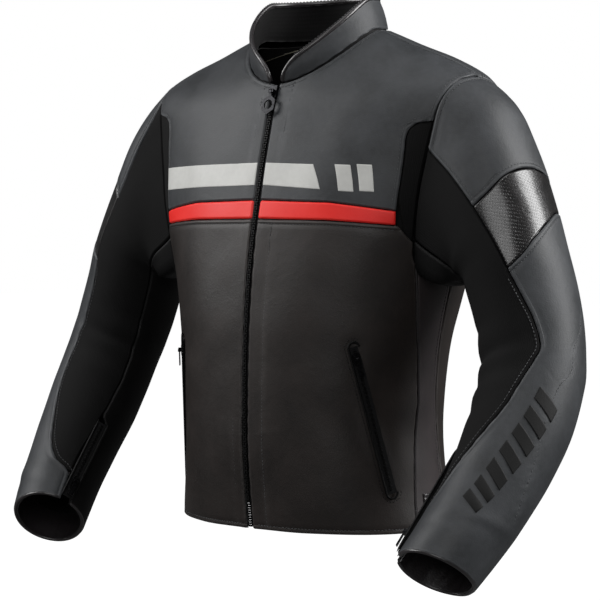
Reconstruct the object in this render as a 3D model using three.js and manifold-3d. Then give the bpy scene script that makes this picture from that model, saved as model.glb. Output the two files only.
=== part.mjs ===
// Leather riding jacket, as worn by an upright rider with the arms slightly bent.
// Millimetres, +Z up, the front faces -Y, the wearer's left is +X.
// Heights in the driving sizes are measured from the hem; the finished group is
// lowered so that the hanging point of the loop inside the collar is the origin.
import * as THREE from 'three';
import { mergeVertices } from 'three/addons/utils/BufferGeometryUtils.js';
import Module from 'manifold-3d';

const wasm = await Module();
wasm.setup();

// ---- driving sizes ----
const NECK_HEIGHT = 578;           // collar seam at the side of the neck
const SHOULDER_START = 400;        // height where the chest begins to turn into the shoulder
const FRONT_DROP = 64;             // how much lower the collar seam is at the throat
const FRONT_ARC_RADIUS = 1150;     // the front closure is one arc in the middle plane
const FRONT_ARC_HEIGHT = 150;      // height of the fullest point of that arc
const FRONT_DEPTH = 134;           // depth of the front there
// height, half width of the body
const HALF_WIDTH = [
  [0, 172], [65, 165], [130, 162], [210, 170], [290, 190], [350, 209], [410, 227],
  [460, 239], [495, 243], [518, 226], [540, 182], [560, 131], [578, 84],
];
// height, depth of the back
const BACK_DEPTH = [[0, 112], [130, 102], [290, 122], [400, 127], [500, 117], [540, 105], [578, 82]];
// height, how far behind the middle plane the widest point lies
const SIDE_SHIFT = [[0, 0], [210, 2], [350, 8], [440, 8], [520, 7], [578, 9]];

const SHELL = 2.0;                 // leather with its backing
const SEAM_GAP = 0.5;              // half of the gap between two panels
const LINING_DEPTH = 11;           // how far the lining hangs inside the leather
const LINING_WALL = 1.4;
const LINING_ARM_GAP = 24;         // the body lining stops this far short of the armhole

const ARMHOLE_CENTRE = new THREE.Vector3(209, 5, 412);
const ARMHOLE_NORMAL = new THREE.Vector3(1, -0.25, -0.15).normalize();
const ARMHOLE_GAP = 1.5;

// sleeve: centre of each ring, half size front to back, half size in to out
const SLEEVE_RINGS = [
  [209, 5, 412, 72, 70], [243, 5, 385, 70, 66], [269, 2, 338, 66, 62], [290, 0, 278, 62, 60],
  [304, -4, 232, 60, 59], [314, -15, 189, 58, 58], [317, -46, 132, 57, 57],
  [309, -92, 65, 51, 51], [295, -130, 16, 47, 47], [277, -164, -28, 44, 44],
];
// the right forearm is held a little higher than the left one
const RIGHT_FOREARM = [[312, -92, 68], [301, -130, 24], [288, -162, -12]];
const ELBOW_RING = 5;
const CAP_BLEND = 150;             // length over which the armhole turns into a round sleeve
const ELBOW_GAP = 26;              // the upper sleeve ends this far before the elbow's centre
const FOREARM_INNER_START = 15;    // and the forearm starts this far after it, inside and outside
const FOREARM_OUTER_START = 5;
const ELBOW_BALL = 54.4;

const COLLAR_HEIGHT = [[0, 7], [8, 15], [20, 25], [45, 32], [90, 35], [180, 37]];
const COLLAR_LEAN = [[0, 0], [8, 2], [20, 3], [45, 0], [90, -10], [180, -8]];
const COLLAR_START = 7;            // degrees from the middle of the throat

const ZIP_TAPE = 9;                // half width of the front closure
const POCKET_TOP = [46, 214];      // angle round the body and height
const POCKET_END = [66, 47];
const CUFF_ZIP_ANGLE = 163;
const CUFF_ZIP_START = 372;

const LOOP_HEIGHT = 580;
const LOOP_SPAN = 46;
const LOOP_BOW = 12;

const COLOURS = {
  grey: [0x4d4d4f, 0.5], brown: [0x332f2d, 0.5], side: [0x46403f, 0.55], stretch: [0x131214, 0.9],
  white: [0xd8d7d3, 0.45], red: [0xe0302e, 0.45], gloss: [0x2b2a2c, 0.25], lining: [0x0c0b0d, 0.85],
  tape: [0x0a0a0b, 0.85], metal: [0x2b2c2f, 0.35, 0.8], foam: [0x3a4a60, 0.8],
};

// ---- small helpers ----
function material(key) {
  const [colour, roughness, metalness = 0] = COLOURS[key];
  return new THREE.MeshStandardMaterial({ color: colour, roughness, metalness });
}

// smooth curve through hand-set stations; each row is [place, value, value...]
function curveThrough(rows) {
  const places = rows.map((row) => row[0]);
  const width = rows[0].length - 1;
  const slope = (i, j) => {
    const before = Math.max(i - 1, 0);
    const after = Math.min(i + 1, rows.length - 1);
    return (rows[after][j + 1] - rows[before][j + 1]) / (places[after] - places[before]);
  };
  return (place) => {
    const x = THREE.MathUtils.clamp(place, places[0], places[places.length - 1]);
    let i = 0;
    while (i < rows.length - 2 && x > places[i + 1]) i += 1;
    const span = places[i + 1] - places[i];
    const t = (x - places[i]) / span;
    const values = [];
    for (let j = 0; j < width; j += 1) {
      const rise = rows[i + 1][j + 1] - rows[i][j + 1];
      const start = slope(i, j) * span;
      const end = slope(i + 1, j) * span;
      values.push(rows[i][j + 1] + t * start
        + t * t * (3 * rise - 2 * start - end) + t * t * t * (start + end - 2 * rise));
    }
    return width === 1 ? values[0] : values;
  };
}

const halfWidth = curveThrough(HALF_WIDTH);
const backDepth = curveThrough(BACK_DEPTH);
const sideShift = curveThrough(SIDE_SHIFT);
const radians = THREE.MathUtils.degToRad;

function frontDepth(height) {
  const along = height - FRONT_ARC_HEIGHT;
  return FRONT_DEPTH - FRONT_ARC_RADIUS + Math.sqrt(FRONT_ARC_RADIUS ** 2 - along ** 2);
}

// body surface: angle 0 is the middle of the front, 90 the wearer's left side, 180 the back;
// height is that of the ring at the side, which drops at the throat and rises at the nape
function body(angle, height) {
  const rise = THREE.MathUtils.clamp((height - SHOULDER_START) / (NECK_HEIGHT - SHOULDER_START), 0, 1);
  const sine = Math.sin(radians(angle));
  const cosine = Math.cos(radians(angle));
  const atFront = cosine > 0;
  const frontHeight = height - FRONT_DROP * rise ** 1.85;
  const backHeight = height + 4 * rise + 9 * Math.sin(Math.PI * rise ** 1.6);
  const power = atFront ? 2.2 - 0.2 * rise : 2.4 - 0.4 * rise;
  const shift = sideShift(height);
  const depth = atFront ? frontDepth(frontHeight) + shift : backDepth(height) - shift;
  const reach = Math.abs(cosine) ** (2 / power);
  const lift = Math.abs(cosine) ** 1.5 * ((atFront ? frontHeight : backHeight) - height);
  return new THREE.Vector3(
    halfWidth(height) * Math.sign(sine) * Math.abs(sine) ** (2 / power),
    shift + (atFront ? -depth : depth) * reach,
    height + lift,
  );
}

// angle round the body at which the front surface is a given distance from the middle
function angleAt(distance, height) {
  const rise = THREE.MathUtils.clamp((height - SHOULDER_START) / (NECK_HEIGHT - SHOULDER_START), 0, 1);
  const power = 2.2 - 0.2 * rise;
  return THREE.MathUtils.radToDeg(Math.asin((distance / halfWidth(height)) ** (power / 2)));
}

// ---- armhole: the outline of the body in the armhole plane ----
const ARMHOLE_FRONT = new THREE.Vector3(0, -1, 0)
  .addScaledVector(ARMHOLE_NORMAL, ARMHOLE_NORMAL.y).normalize();
const ARMHOLE_UP = new THREE.Vector3().crossVectors(ARMHOLE_NORMAL, ARMHOLE_FRONT).negate();
if (ARMHOLE_UP.z < 0) ARMHOLE_UP.negate();

function pastArmhole(point) {
  return point.clone().sub(ARMHOLE_CENTRE).dot(ARMHOLE_NORMAL);
}

function armholeOutline() {
  let low = 0;
  let high = 0;
  for (let height = 260; height < 560; height += 0.5) {
    if (pastArmhole(body(90, height)) > 0) {
      if (!low) low = height + 0.1;
      high = height - 0.1;
    }
  }
  const outline = [];
  const steps = 48;
  for (const far of [0, 180]) {
    for (let i = 0; i <= steps; i += 1) {
      const height = low + (high - low) * (1 - Math.cos((Math.PI * i) / steps)) / 2;
      let inside = far === 0 ? 20 : 170;
      let outside = 90;
      for (let round = 0; round < 30; round += 1) {
        const middle = (inside + outside) / 2;
        if (pastArmhole(body(middle, height)) > 0) outside = middle;
        else inside = middle;
      }
      const spoke = body(inside, height).sub(ARMHOLE_CENTRE);
      const across = spoke.dot(ARMHOLE_FRONT);
      const up = spoke.dot(ARMHOLE_UP);
      const turn = (THREE.MathUtils.radToDeg(Math.atan2(across, up)) + 360) % 360;
      outline.push([turn, Math.hypot(across, up)]);
    }
  }
  return outline.sort((a, b) => a[0] - b[0]);
}
const ARMHOLE = armholeOutline();

function armhole(angle) {
  const turn = ((angle % 360) + 360) % 360;
  let after = ARMHOLE.findIndex((row) => row[0] >= turn);
  if (after < 0) after = 0;
  const before = (after + ARMHOLE.length - 1) % ARMHOLE.length;
  const span = (ARMHOLE[after][0] - ARMHOLE[before][0] + 360) % 360 || 1;
  const part = ((turn - ARMHOLE[before][0] + 360) % 360) / span;
  const radius = THREE.MathUtils.lerp(ARMHOLE[before][1], ARMHOLE[after][1], part);
  return ARMHOLE_CENTRE.clone()
    .addScaledVector(ARMHOLE_UP, radius * Math.cos(radians(turn)))
    .addScaledVector(ARMHOLE_FRONT, radius * Math.sin(radians(turn)));
}

// ---- sleeve surface: angle 0 outer, 90 front, 180 inner, 270 back; place in mm down the arm ----
function makeSleeve(isRight) {
  const rings = SLEEVE_RINGS.map((row) => row.slice());
  if (isRight) {
    RIGHT_FOREARM.forEach((centre, i) => {
      rings[rings.length - 3 + i].splice(0, 3, ...centre);
    });
  }
  const centres = rings.map((row) => new THREE.Vector3(...row));
  let place = 0;
  const rows = rings.map((row, i) => {
    if (i > 0) place += centres[i].distanceTo(centres[i - 1]);
    return [place, ...row];
  });
  const station = curveThrough(rows);
  const at = (along) => new THREE.Vector3(...station(along).slice(0, 3));
  const length = place;
  const surface = (angle, along) => {
    const [, , , frontHalf, sideHalf] = station(along);
    const centre = at(along);
    const forward = at(Math.min(along + 2, length)).sub(at(Math.max(along - 2, 0))).normalize();
    const front = new THREE.Vector3(0, -1, 0);
    front.addScaledVector(forward, -front.dot(forward)).normalize();
    const side = new THREE.Vector3().crossVectors(forward, front);
    if (side.x < 0) side.negate();
    const round = centre.clone()
      .addScaledVector(side, sideHalf * Math.cos(radians(angle)))
      .addScaledVector(front, frontHalf * Math.sin(radians(angle)));
    const start = armhole(angle).add(centre).sub(ARMHOLE_CENTRE);
    return start.lerp(round, THREE.MathUtils.smoothstep(along, 0, CAP_BLEND));
  };
  return { surface, at, length, elbow: rows[ELBOW_RING][0] };
}

// ---- plates bent on a surface ----
const AXIS_STEP = 0.2;
function outward(surface, u, v) {
  const across = surface(u + AXIS_STEP, v).sub(surface(u - AXIS_STEP, v));
  const along = surface(u, v + AXIS_STEP).sub(surface(u, v - AXIS_STEP));
  return across.cross(along).normalize();
}

function solidFrom(geometry) {
  const bare = geometry.clone();
  bare.deleteAttribute('normal');
  bare.deleteAttribute('uv');
  return mergeVertices(bare, 1e-4);
}

// a flat box bent so that it lies on the surface between two edge curves;
// each edge takes 0 to 1 along the panel and gives [u, v]; depths are along the outward normal
function bentPlate(surface, left, right, across, along, outer = 0, inner = -SHELL) {
  const geometry = solidFrom(new THREE.BoxGeometry(1, 1, 1, across, along, 1));
  const place = geometry.getAttribute('position');
  for (let i = 0; i < place.count; i += 1) {
    const b = place.getY(i) + 0.5;
    const a = place.getX(i) + 0.5;
    const [u0, v0] = left(b);
    const [u1, v1] = right(b);
    const u = u0 + (u1 - u0) * a;
    const v = v0 + (v1 - v0) * a;
    const depth = place.getZ(i) > 0 ? outer : inner;
    const point = surface(u, v).addScaledVector(outward(surface, u, v), depth);
    place.setXYZ(i, point.x, point.y, point.z);
  }
  return geometry;
}

function edge(points) {
  const rows = points.map((point, i) => [i / (points.length - 1), ...point]);
  return curveThrough(rows);
}

// straight pieces between the points, for outlines with real corners
function brokenEdge(points) {
  return (b) => {
    const x = b * (points.length - 1);
    const i = Math.min(Math.floor(x), points.length - 2);
    return points[i].map((value, j) => value + (points[i + 1][j] - value) * (x - i));
  };
}

function toManifold(geometry) {
  const clean = solidFrom(geometry.index ? geometry.toNonIndexed() : geometry);
  return new wasm.Manifold(new wasm.Mesh({
    numProp: 3,
    vertProperties: new Float32Array(clean.getAttribute('position').array),
    triVerts: new Uint32Array(clean.index.array),
  }));
}

function toGeometry(solid) {
  const mesh = solid.getMesh();
  const geometry = new THREE.BufferGeometry();
  geometry.setAttribute('position', new THREE.BufferAttribute(new Float32Array(mesh.vertProperties), 3));
  geometry.setIndex(new THREE.BufferAttribute(new Uint32Array(mesh.triVerts), 1));
  return geometry;
}

function cut(geometry, ...tools) {
  return toGeometry(tools.reduce((solid, tool) => solid.subtract(toManifold(tool)), toManifold(geometry)));
}

function join(first, ...others) {
  return toGeometry(others.reduce((solid, other) => solid.add(toManifold(other)), toManifold(first)));
}

function placed(geometry, frame) {
  return geometry.clone().applyMatrix4(frame);
}

function mirrored(geometry) {
  const other = solidFrom(geometry.index ? geometry.toNonIndexed() : geometry);
  const place = other.getAttribute('position');
  for (let i = 0; i < place.count; i += 1) place.setX(i, -place.getX(i));
  const index = other.index.array;
  for (let i = 0; i < index.length; i += 3) {
    const kept = index[i];
    index[i] = index[i + 1];
    index[i + 1] = kept;
  }
  return other;
}

// frame whose y runs from one point to another and whose z is nearest the given outward direction
function frameAlong(from, to, out) {
  const y = to.clone().sub(from).normalize();
  const x = new THREE.Vector3().crossVectors(y, out).normalize();
  const z = new THREE.Vector3().crossVectors(x, y);
  return new THREE.Matrix4().makeBasis(x, y, z).setPosition(from);
}

// ---- the object ----
const jacket = new THREE.Group();
function addPiece(name, geometry, colour, group = jacket) {
  const mesh = new THREE.Mesh(geometry, material(colour));
  mesh.name = name;
  group.add(mesh);
  return mesh;
}

function addPair(name, geometry, colour) {
  addPiece(`${name}_left`, geometry, colour);
  addPiece(`${name}_right`, mirrored(geometry), colour);
}

// everything beyond the armhole plane, from just below the underarm to well above the shoulder
const BELOW_UNDERARM = 3.8;
function armholeTool() {
  const up = ARMHOLE.map(([turn, radius]) => radius * Math.cos(radians(turn)));
  const low = Math.min(...up) - BELOW_UNDERARM;
  const size = Math.max(...ARMHOLE.map((row) => row[1])) * 2.2;
  const box = new THREE.BoxGeometry(size, size, size);
  const basis = new THREE.Matrix4().makeBasis(ARMHOLE_NORMAL, ARMHOLE_FRONT.clone().negate(), ARMHOLE_UP);
  const centre = ARMHOLE_CENTRE.clone()
    .addScaledVector(ARMHOLE_NORMAL, size / 2 - ARMHOLE_GAP)
    .addScaledVector(ARMHOLE_UP, low + size / 2);
  return box.applyMatrix4(basis.setPosition(centre));
}
const ARM_TOOL = armholeTool();
const ARM_TOOL_RIGHT = mirrored(ARM_TOOL);

// seams of the front, as [angle, height]
const BAND_TOP = 379;
const BACK_SIDE_ANGLE = 103;
const YOKE_LOW_BACK = 380;
const SHOULDER_ANGLE = 91.6;
const HEM = 1;
const COLLAR_SEAM = NECK_HEIGHT - 1;

function addFrontPanels() {
  const start = ZIP_TAPE + 0.6;
  const inner = (height) => [angleAt(start, height), height];
  const yokeHeights = [BAND_TOP + SEAM_GAP, 412, 446, 480, 512, 545, COLLAR_SEAM];
  const yoke = bentPlate(
    body,
    brokenEdge(yokeHeights.map(inner)),
    brokenEdge([[49, 366.5], [47.5, 424], [46.5, 455], [50, 470.5], [64, 473], [SHOULDER_ANGLE, 480],
      [SHOULDER_ANGLE, COLLAR_SEAM]]),
    6, 12,
  );
  addPair('front_yoke', cut(yoke, ARM_TOOL), 'grey');

  const stripe = bentPlate(body, edge([[angleAt(start, 396), 396], [angleAt(start, 423), 423]]),
    edge([[20, 391], [16.5, 420]]), 4, 1, 1.7, 0.9);
  addPiece('white_stripe_left', stripe, 'white');
  const longStripe = bentPlate(body, edge([[angleAt(start, 396), 396], [angleAt(start, 423), 423]]),
    edge([[44, 391], [44, 418]]), 6, 1, 1.7, 0.9);
  addPiece('white_stripe_right', mirrored(longStripe), 'white');

  const band = bentPlate(body, edge([[angleAt(start, 358), 358], [angleAt(start, 378), 378]]),
    edge([[51.6, 351], [49.8, 365]]), 7, 2);
  addPair('red_band', band, 'red');

  const lowHeights = [HEM, 60, 151, 240, 314, 356.5];
  const low = bentPlate(
    body,
    brokenEdge(lowHeights.map(inner)),
    brokenEdge([[77.6, HEM], [79.6, 60], [82.6, 151], [75.6, 240], [65, 313], [52, 349.5]]),
    8, 10,
  );
  addPair('lower_front', cut(low, pocketSlot(), ARM_TOOL), 'brown');

  const stretch = bentPlate(
    body,
    brokenEdge([[60, 329.5], [56, 341], [52.2, 364], [50.4, 372.5], [48.4, 424], [47.2, 455],
      [50.6, 469.8]]),
    brokenEdge([[70, 329.5], [70, 341], [70, 364], [70, 372.5], [70, 424], [70, 455], [66, 472.2]]),
    4, 12,
  );
  addPair('armhole_stretch', cut(stretch, ARM_TOOL), 'stretch');

  const side = bentPlate(
    body,
    brokenEdge([[78.3, HEM], [80.3, 60], [83.3, 151], [76.4, 240], [66.2, 311]]),
    brokenEdge([[BACK_SIDE_ANGLE, HEM], [BACK_SIDE_ANGLE, 60], [BACK_SIDE_ANGLE, 151],
      [BACK_SIDE_ANGLE, 240], [BACK_SIDE_ANGLE, 379]]),
    4, 10,
  );
  addPair('side_panel', cut(side, ARM_TOOL), 'side');
}

function addBackPanels() {
  const yokeEdge = (turn) => brokenEdge([[turn(103.5), YOKE_LOW_BACK + SEAM_GAP], [turn(103.5), 430],
    [turn(98), 470], [turn(SHOULDER_ANGLE + 0.8), 490], [turn(SHOULDER_ANGLE + 0.8), 530],
    [turn(SHOULDER_ANGLE + 0.8), COLLAR_SEAM]]);
  const same = (angle) => angle;
  const other = (angle) => 360 - angle;
  const yoke = bentPlate(body, yokeEdge(same), yokeEdge(other), 14, 8);
  addPiece('back_yoke', cut(yoke, ARM_TOOL, ARM_TOOL_RIGHT), 'grey');
  const lowEdge = (turn) => brokenEdge([[turn(BACK_SIDE_ANGLE + 0.5), HEM],
    [turn(BACK_SIDE_ANGLE + 0.5), 130], [turn(BACK_SIDE_ANGLE + 0.5), 260],
    [turn(103.5), YOKE_LOW_BACK - SEAM_GAP]]);
  const low = bentPlate(body, lowEdge(same), lowEdge(other), 12, 6);
  addPiece('lower_back', cut(low, ARM_TOOL, ARM_TOOL_RIGHT), 'brown');
}

function addLining() {
  const face = 14;
  const heights = [7, 130, 290, 400, 460, 500, 530, NECK_HEIGHT - 20];
  const left = brokenEdge(heights.map((height) => [angleAt(face, height), height]));
  const right = brokenEdge(heights.map((height) => [360 - angleAt(face, height), height]));
  const lining = bentPlate(body, left, right, 26, 14, -LINING_DEPTH, -LINING_DEPTH - LINING_WALL);
  const inwards = ARMHOLE_NORMAL.clone().multiplyScalar(-LINING_ARM_GAP);
  const tool = ARM_TOOL.clone().translate(...inwards.toArray());
  addPiece('body_lining', cut(lining, tool, mirrored(tool)), 'lining');
}

// ---- collar: angle round the neck, 0 at the seam to 1 at the top edge ----
const collarHeight = curveThrough(COLLAR_HEIGHT);
const collarLean = curveThrough(COLLAR_LEAN);
function collar(angle, part) {
  const turned = Math.abs(((angle + 180) % 360) - 180);
  const base = body(angle, NECK_HEIGHT);
  const lean = collarLean(turned) * part;
  return new THREE.Vector3(
    base.x + Math.sin(radians(angle)) * lean,
    base.y - Math.cos(radians(angle)) * lean,
    base.z + collarHeight(turned) * part,
  );
}

function collarWall(angle, part) {
  return collar(angle, part / 40);
}

function addCollar() {
  const left = brokenEdge([[COLLAR_START, 1.5], [COLLAR_START, 40]]);
  const right = brokenEdge([[360 - COLLAR_START, 1.5], [360 - COLLAR_START, 40]]);
  addPiece('collar_outer', bentPlate(collarWall, left, right, 26, 2, 0, -SHELL), 'grey');
  addPiece('collar_lining', bentPlate(collarWall, left, right, 26, 2, -SHELL - 0.8, -SHELL - 2.2), 'lining');
  const points = [];
  for (let angle = COLLAR_START; angle <= 360 - COLLAR_START; angle += (360 - 2 * COLLAR_START) / 24) {
    const centre = collar(angle, 1);
    const inwards = outward(collarWall, angle, 40).multiplyScalar(-SHELL);
    points.push(centre.add(inwards).add(new THREE.Vector3(0, 0, 3.5)));
  }
  addPiece('collar_binding', tube(points, 2, 30, 6), 'gloss');
}

// round bar along a smooth route
function tube(points, radius, steps, sides) {
  const section = new THREE.Shape();
  for (let i = 0; i < sides; i += 1) {
    const turn = (2 * Math.PI * i) / sides;
    const x = radius * Math.cos(turn);
    const y = radius * Math.sin(turn);
    if (i === 0) section.moveTo(x, y);
    else section.lineTo(x, y);
  }
  section.closePath();
  const path = new THREE.CatmullRomCurve3(points);
  return new THREE.ExtrudeGeometry(section, { steps, extrudePath: path, curveSegments: 1 });
}

// strap that arches inwards from the nape, sewn down at both ends
function addHangerLoop() {
  const nape = body(180, NECK_HEIGHT).y - SHELL - 6.4;
  const bend = (x) => nape - LOOP_BOW * Math.cos((Math.PI * x) / LOOP_SPAN) ** 0.7 - 1.2;
  const strap = solidFrom(new THREE.BoxGeometry(LOOP_SPAN, 1.4, 9, 14, 1, 1));
  const place = strap.getAttribute('position');
  for (let i = 0; i < place.count; i += 1) {
    const x = place.getX(i);
    const inside = Math.min(Math.abs(x), LOOP_SPAN / 2 - 0.001) * Math.sign(x);
    place.setXYZ(i, x, bend(inside) + place.getY(i), LOOP_HEIGHT + place.getZ(i));
  }
  addPiece('hanger_loop', strap, 'tape');
  return new THREE.Vector3(0, bend(0), LOOP_HEIGHT);
}

// ---- zips: a chain of teeth on two tapes, a saddle-shaped slider and a hinged puller ----
const BEAD = 2.6;                  // half width of the closed teeth
const BEAD_RISE = 1.1;
const SLIDER_LENGTH = 15;
const PIVOT_RISE = 6.4;            // height of the puller's pin above the tape

function addMainZip() {
  const arc = (u, v) => new THREE.Vector3(u, -frontDepth(v), v);
  const sides = { left: 1, right: -1 };
  for (const [side, sign] of Object.entries(sides)) {
    const tape = bentPlate(arc, edge([[2.2, 3], [2.2, 511]]), edge([[ZIP_TAPE, 3], [ZIP_TAPE, 511]]),
      1, 14, -1.6, -2.6);
    const bead = bentPlate(arc, edge([[0.4, 6], [0.4, 509]]), edge([[BEAD, 6], [BEAD, 509]]),
      1, 14, 0.2, -3.2);
    const half = join(tape, bead);
    addPiece(`main_zip_${side}`, sign > 0 ? half : mirrored(half), 'tape');
  }
}

// saddle over the teeth, with two lugs and a pin; y runs along the zip, z is outward, z = 0 on the tape
function sliderGeometry(scale) {
  const shape = new THREE.Shape();
  const wide = 5.2;
  const roof = BEAD_RISE + 2.2;
  shape.moveTo(-wide, 0.5);
  shape.lineTo(-wide, roof + 1.4);
  shape.lineTo(wide, roof + 1.4);
  shape.lineTo(wide, 0.5);
  shape.lineTo(wide - 1.4, 0.5);
  shape.lineTo(wide - 1.4, roof);
  shape.lineTo(-wide + 1.4, roof);
  shape.lineTo(-wide + 1.4, 0.5);
  shape.closePath();
  const saddle = new THREE.ExtrudeGeometry(shape, { depth: SLIDER_LENGTH, bevelEnabled: false });
  saddle.rotateX(Math.PI / 2).translate(0, SLIDER_LENGTH / 2, 0);
  const lugs = [-1, 1].map((side) => new THREE.BoxGeometry(1.3, 4, 5)
    .translate(side * 3.0, 0, PIVOT_RISE + 0.1));
  const pin = new THREE.CylinderGeometry(0.9, 0.9, 6.4, 12).rotateZ(Math.PI / 2)
    .translate(0, 0, PIVOT_RISE + 0.9);
  return join(saddle, ...lugs, pin).scale(scale, scale, scale);
}

function tagOutline(kind) {
  const shape = new THREE.Shape();
  if (kind === 'ring') {
    const corners = 6;
    for (let i = 0; i < corners; i += 1) {
      const turn = (2 * Math.PI * (i + 0.5)) / corners;
      const x = 10.5 * Math.cos(turn);
      const y = -17 + 12 * Math.sin(turn);
      if (i === 0) shape.moveTo(x, y);
      else shape.lineTo(x, y);
    }
    shape.closePath();
    const hole = new THREE.Path();
    hole.absarc(0, -17, 6, 0, 2 * Math.PI, true);
    shape.holes.push(hole);
  } else {
    shape.moveTo(-2.8, -3);
    shape.lineTo(2.8, -3);
    shape.lineTo(3.6, -24);
    shape.lineTo(-3.6, -24);
    shape.closePath();
  }
  return shape;
}

// flat tab or ring that swings on the slider's pin; the pin passes through its eye
function pullerGeometry(kind, scale) {
  const eye = new THREE.Shape();
  eye.absarc(0, 0, 2.3, 0, Math.PI, false);
  eye.lineTo(-2.3, -3);
  eye.lineTo(2.3, -3);
  eye.closePath();
  const hole = new THREE.Path();
  hole.absarc(0, 0, 1.35, 0, 2 * Math.PI, true);
  eye.holes.push(hole);
  const stem = new THREE.ExtrudeGeometry(eye, { depth: 3.4, bevelEnabled: false, curveSegments: 6 })
    .translate(0, 0, -1.7).rotateY(Math.PI / 2);
  const neck = new THREE.BoxGeometry(3.4, 5, 1.8).translate(0, -4.5, 0);
  const plateShape = { depth: 1.8, bevelEnabled: false, curveSegments: 6 };
  const plate = new THREE.ExtrudeGeometry(tagOutline(kind), plateShape)
    .translate(0, 0, -0.9);
  return join(stem, neck, plate).translate(0, 0, PIVOT_RISE + 0.9).scale(scale, scale, scale);
}

function addSlider(name, frame, kind, scale, mirror) {
  const finish = (geometry) => (mirror ? mirrored(placed(geometry, frame)) : placed(geometry, frame));
  addPiece(`${name}_slider`, finish(sliderGeometry(scale)), 'metal');
  addPiece(`${name}_puller`, finish(pullerGeometry(kind, scale)), 'metal');
}

const MAIN_SLIDER_HEIGHT = 503;
function mainSliderFrame() {
  const slope = Math.asin((MAIN_SLIDER_HEIGHT - FRONT_ARC_HEIGHT) / FRONT_ARC_RADIUS);
  const z = new THREE.Vector3(0, -Math.cos(slope), Math.sin(slope));
  const y = new THREE.Vector3(0, Math.sin(slope), Math.cos(slope));
  const x = new THREE.Vector3().crossVectors(y, z);
  const tapeFace = new THREE.Vector3(0, -frontDepth(MAIN_SLIDER_HEIGHT), MAIN_SLIDER_HEIGHT)
    .addScaledVector(z, -1.6);
  return new THREE.Matrix4().makeBasis(x, y, z).setPosition(tapeFace);
}

// straight closed zip: flat tape with a raised chain down its middle
function closedZip(length, width) {
  const tape = new THREE.BoxGeometry(width, length, 1).translate(0, -length / 2, -0.5);
  const chain = new THREE.BoxGeometry(2 * BEAD, length - 6, BEAD_RISE + 1.4)
    .translate(0, -length / 2, BEAD_RISE / 2 - 0.1);
  return join(tape, chain);
}

// the frame starts at the top of the zip and its y axis runs back up the zip
function zipFrame(surface, start, end, sink) {
  const top = surface(...start);
  const low = surface(...end);
  const out = outward(surface, (start[0] + end[0]) / 2, (start[1] + end[1]) / 2);
  const frame = frameAlong(low, top, out);
  const z = new THREE.Vector3().setFromMatrixColumn(frame, 2);
  return { frame: frame.setPosition(top.addScaledVector(z, -sink)), length: top.distanceTo(low) };
}

function slotTool(frame, length, width) {
  return placed(new THREE.BoxGeometry(width, length + 5, 40).translate(0, -length / 2, 0), frame);
}

const POCKET = zipFrame(body, POCKET_TOP, POCKET_END, 0.4);
function pocketSlot() {
  return slotTool(POCKET.frame, POCKET.length, ZIP_SLOT);
}

function addPockets() {
  addPair('pocket_zip', placed(closedZip(POCKET.length, 12.5), POCKET.frame), 'tape');
  const bag = bentPlate(body, edge([[34, 60], [28, 120], [30, 205]]), edge([[70, 40], [66, 130], [54, 226]]),
    5, 6, -4.6, -8.2);
  addPair('pocket_bag', bag, 'lining');
  const top = POCKET.frame.clone().multiply(new THREE.Matrix4().makeTranslation(0, -14, 0));
  addSlider('pocket_left', top, 'tab', 0.8, false);
  addSlider('pocket_right', top, 'tab', 0.8, true);
}

function addWaistTabs() {
  const tab = bentPlate(body, edge([[86, 24], [86, 44]]), edge([[98, 24], [98, 44]]), 2, 1, 3.4, 1.0);
  addPair('waist_tab', tab, 'gloss');
}

const CONNECTION_HEIGHT = 32;
const CONNECTION_SPARE = 12.5;      // from the lining's inner face at the middle of the back
function addConnectionZip() {
  const lining = backDepth(CONNECTION_HEIGHT) - LINING_DEPTH - LINING_WALL;
  const thick = 1.6;
  const tape = new THREE.BoxGeometry(150, thick, 24)
    .translate(0, lining - CONNECTION_SPARE + thick / 2, CONNECTION_HEIGHT);
  addPiece('connection_zip', tape, 'tape');
}

// ---- sleeves ----
const BACK_SEAM = -100;
const FRONT_SEAM = [[0, 66], [70, 70], [130, 68], [200, 62], [255, 62], [330, 80], [400, 108],
  [450, 138], [466, 155],
  [530, 155]];
const frontSeam = curveThrough(FRONT_SEAM);
const ELBOW_BALL_STEPS = 5;
const ELBOW_BALL_REACH = 40; // degrees either side of the middle
const ELBOW_BALL_WALL = 1.4;
const PAD_OUTSIDE = -5; // both faces of a protector, inwards from the sleeve
const PAD_INSIDE = -12;
const ZIP_SLOT = 14;
const CUFF_SLOT_SPARE = 40;
const FACING_DEPTH = 44;
const patchTop = (angle) => 78 + (angle - 60) * -0.05;
const patchLow = (angle) => THREE.MathUtils.mapLinear(angle, 70, BACK_SEAM, 140, 96);

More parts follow.
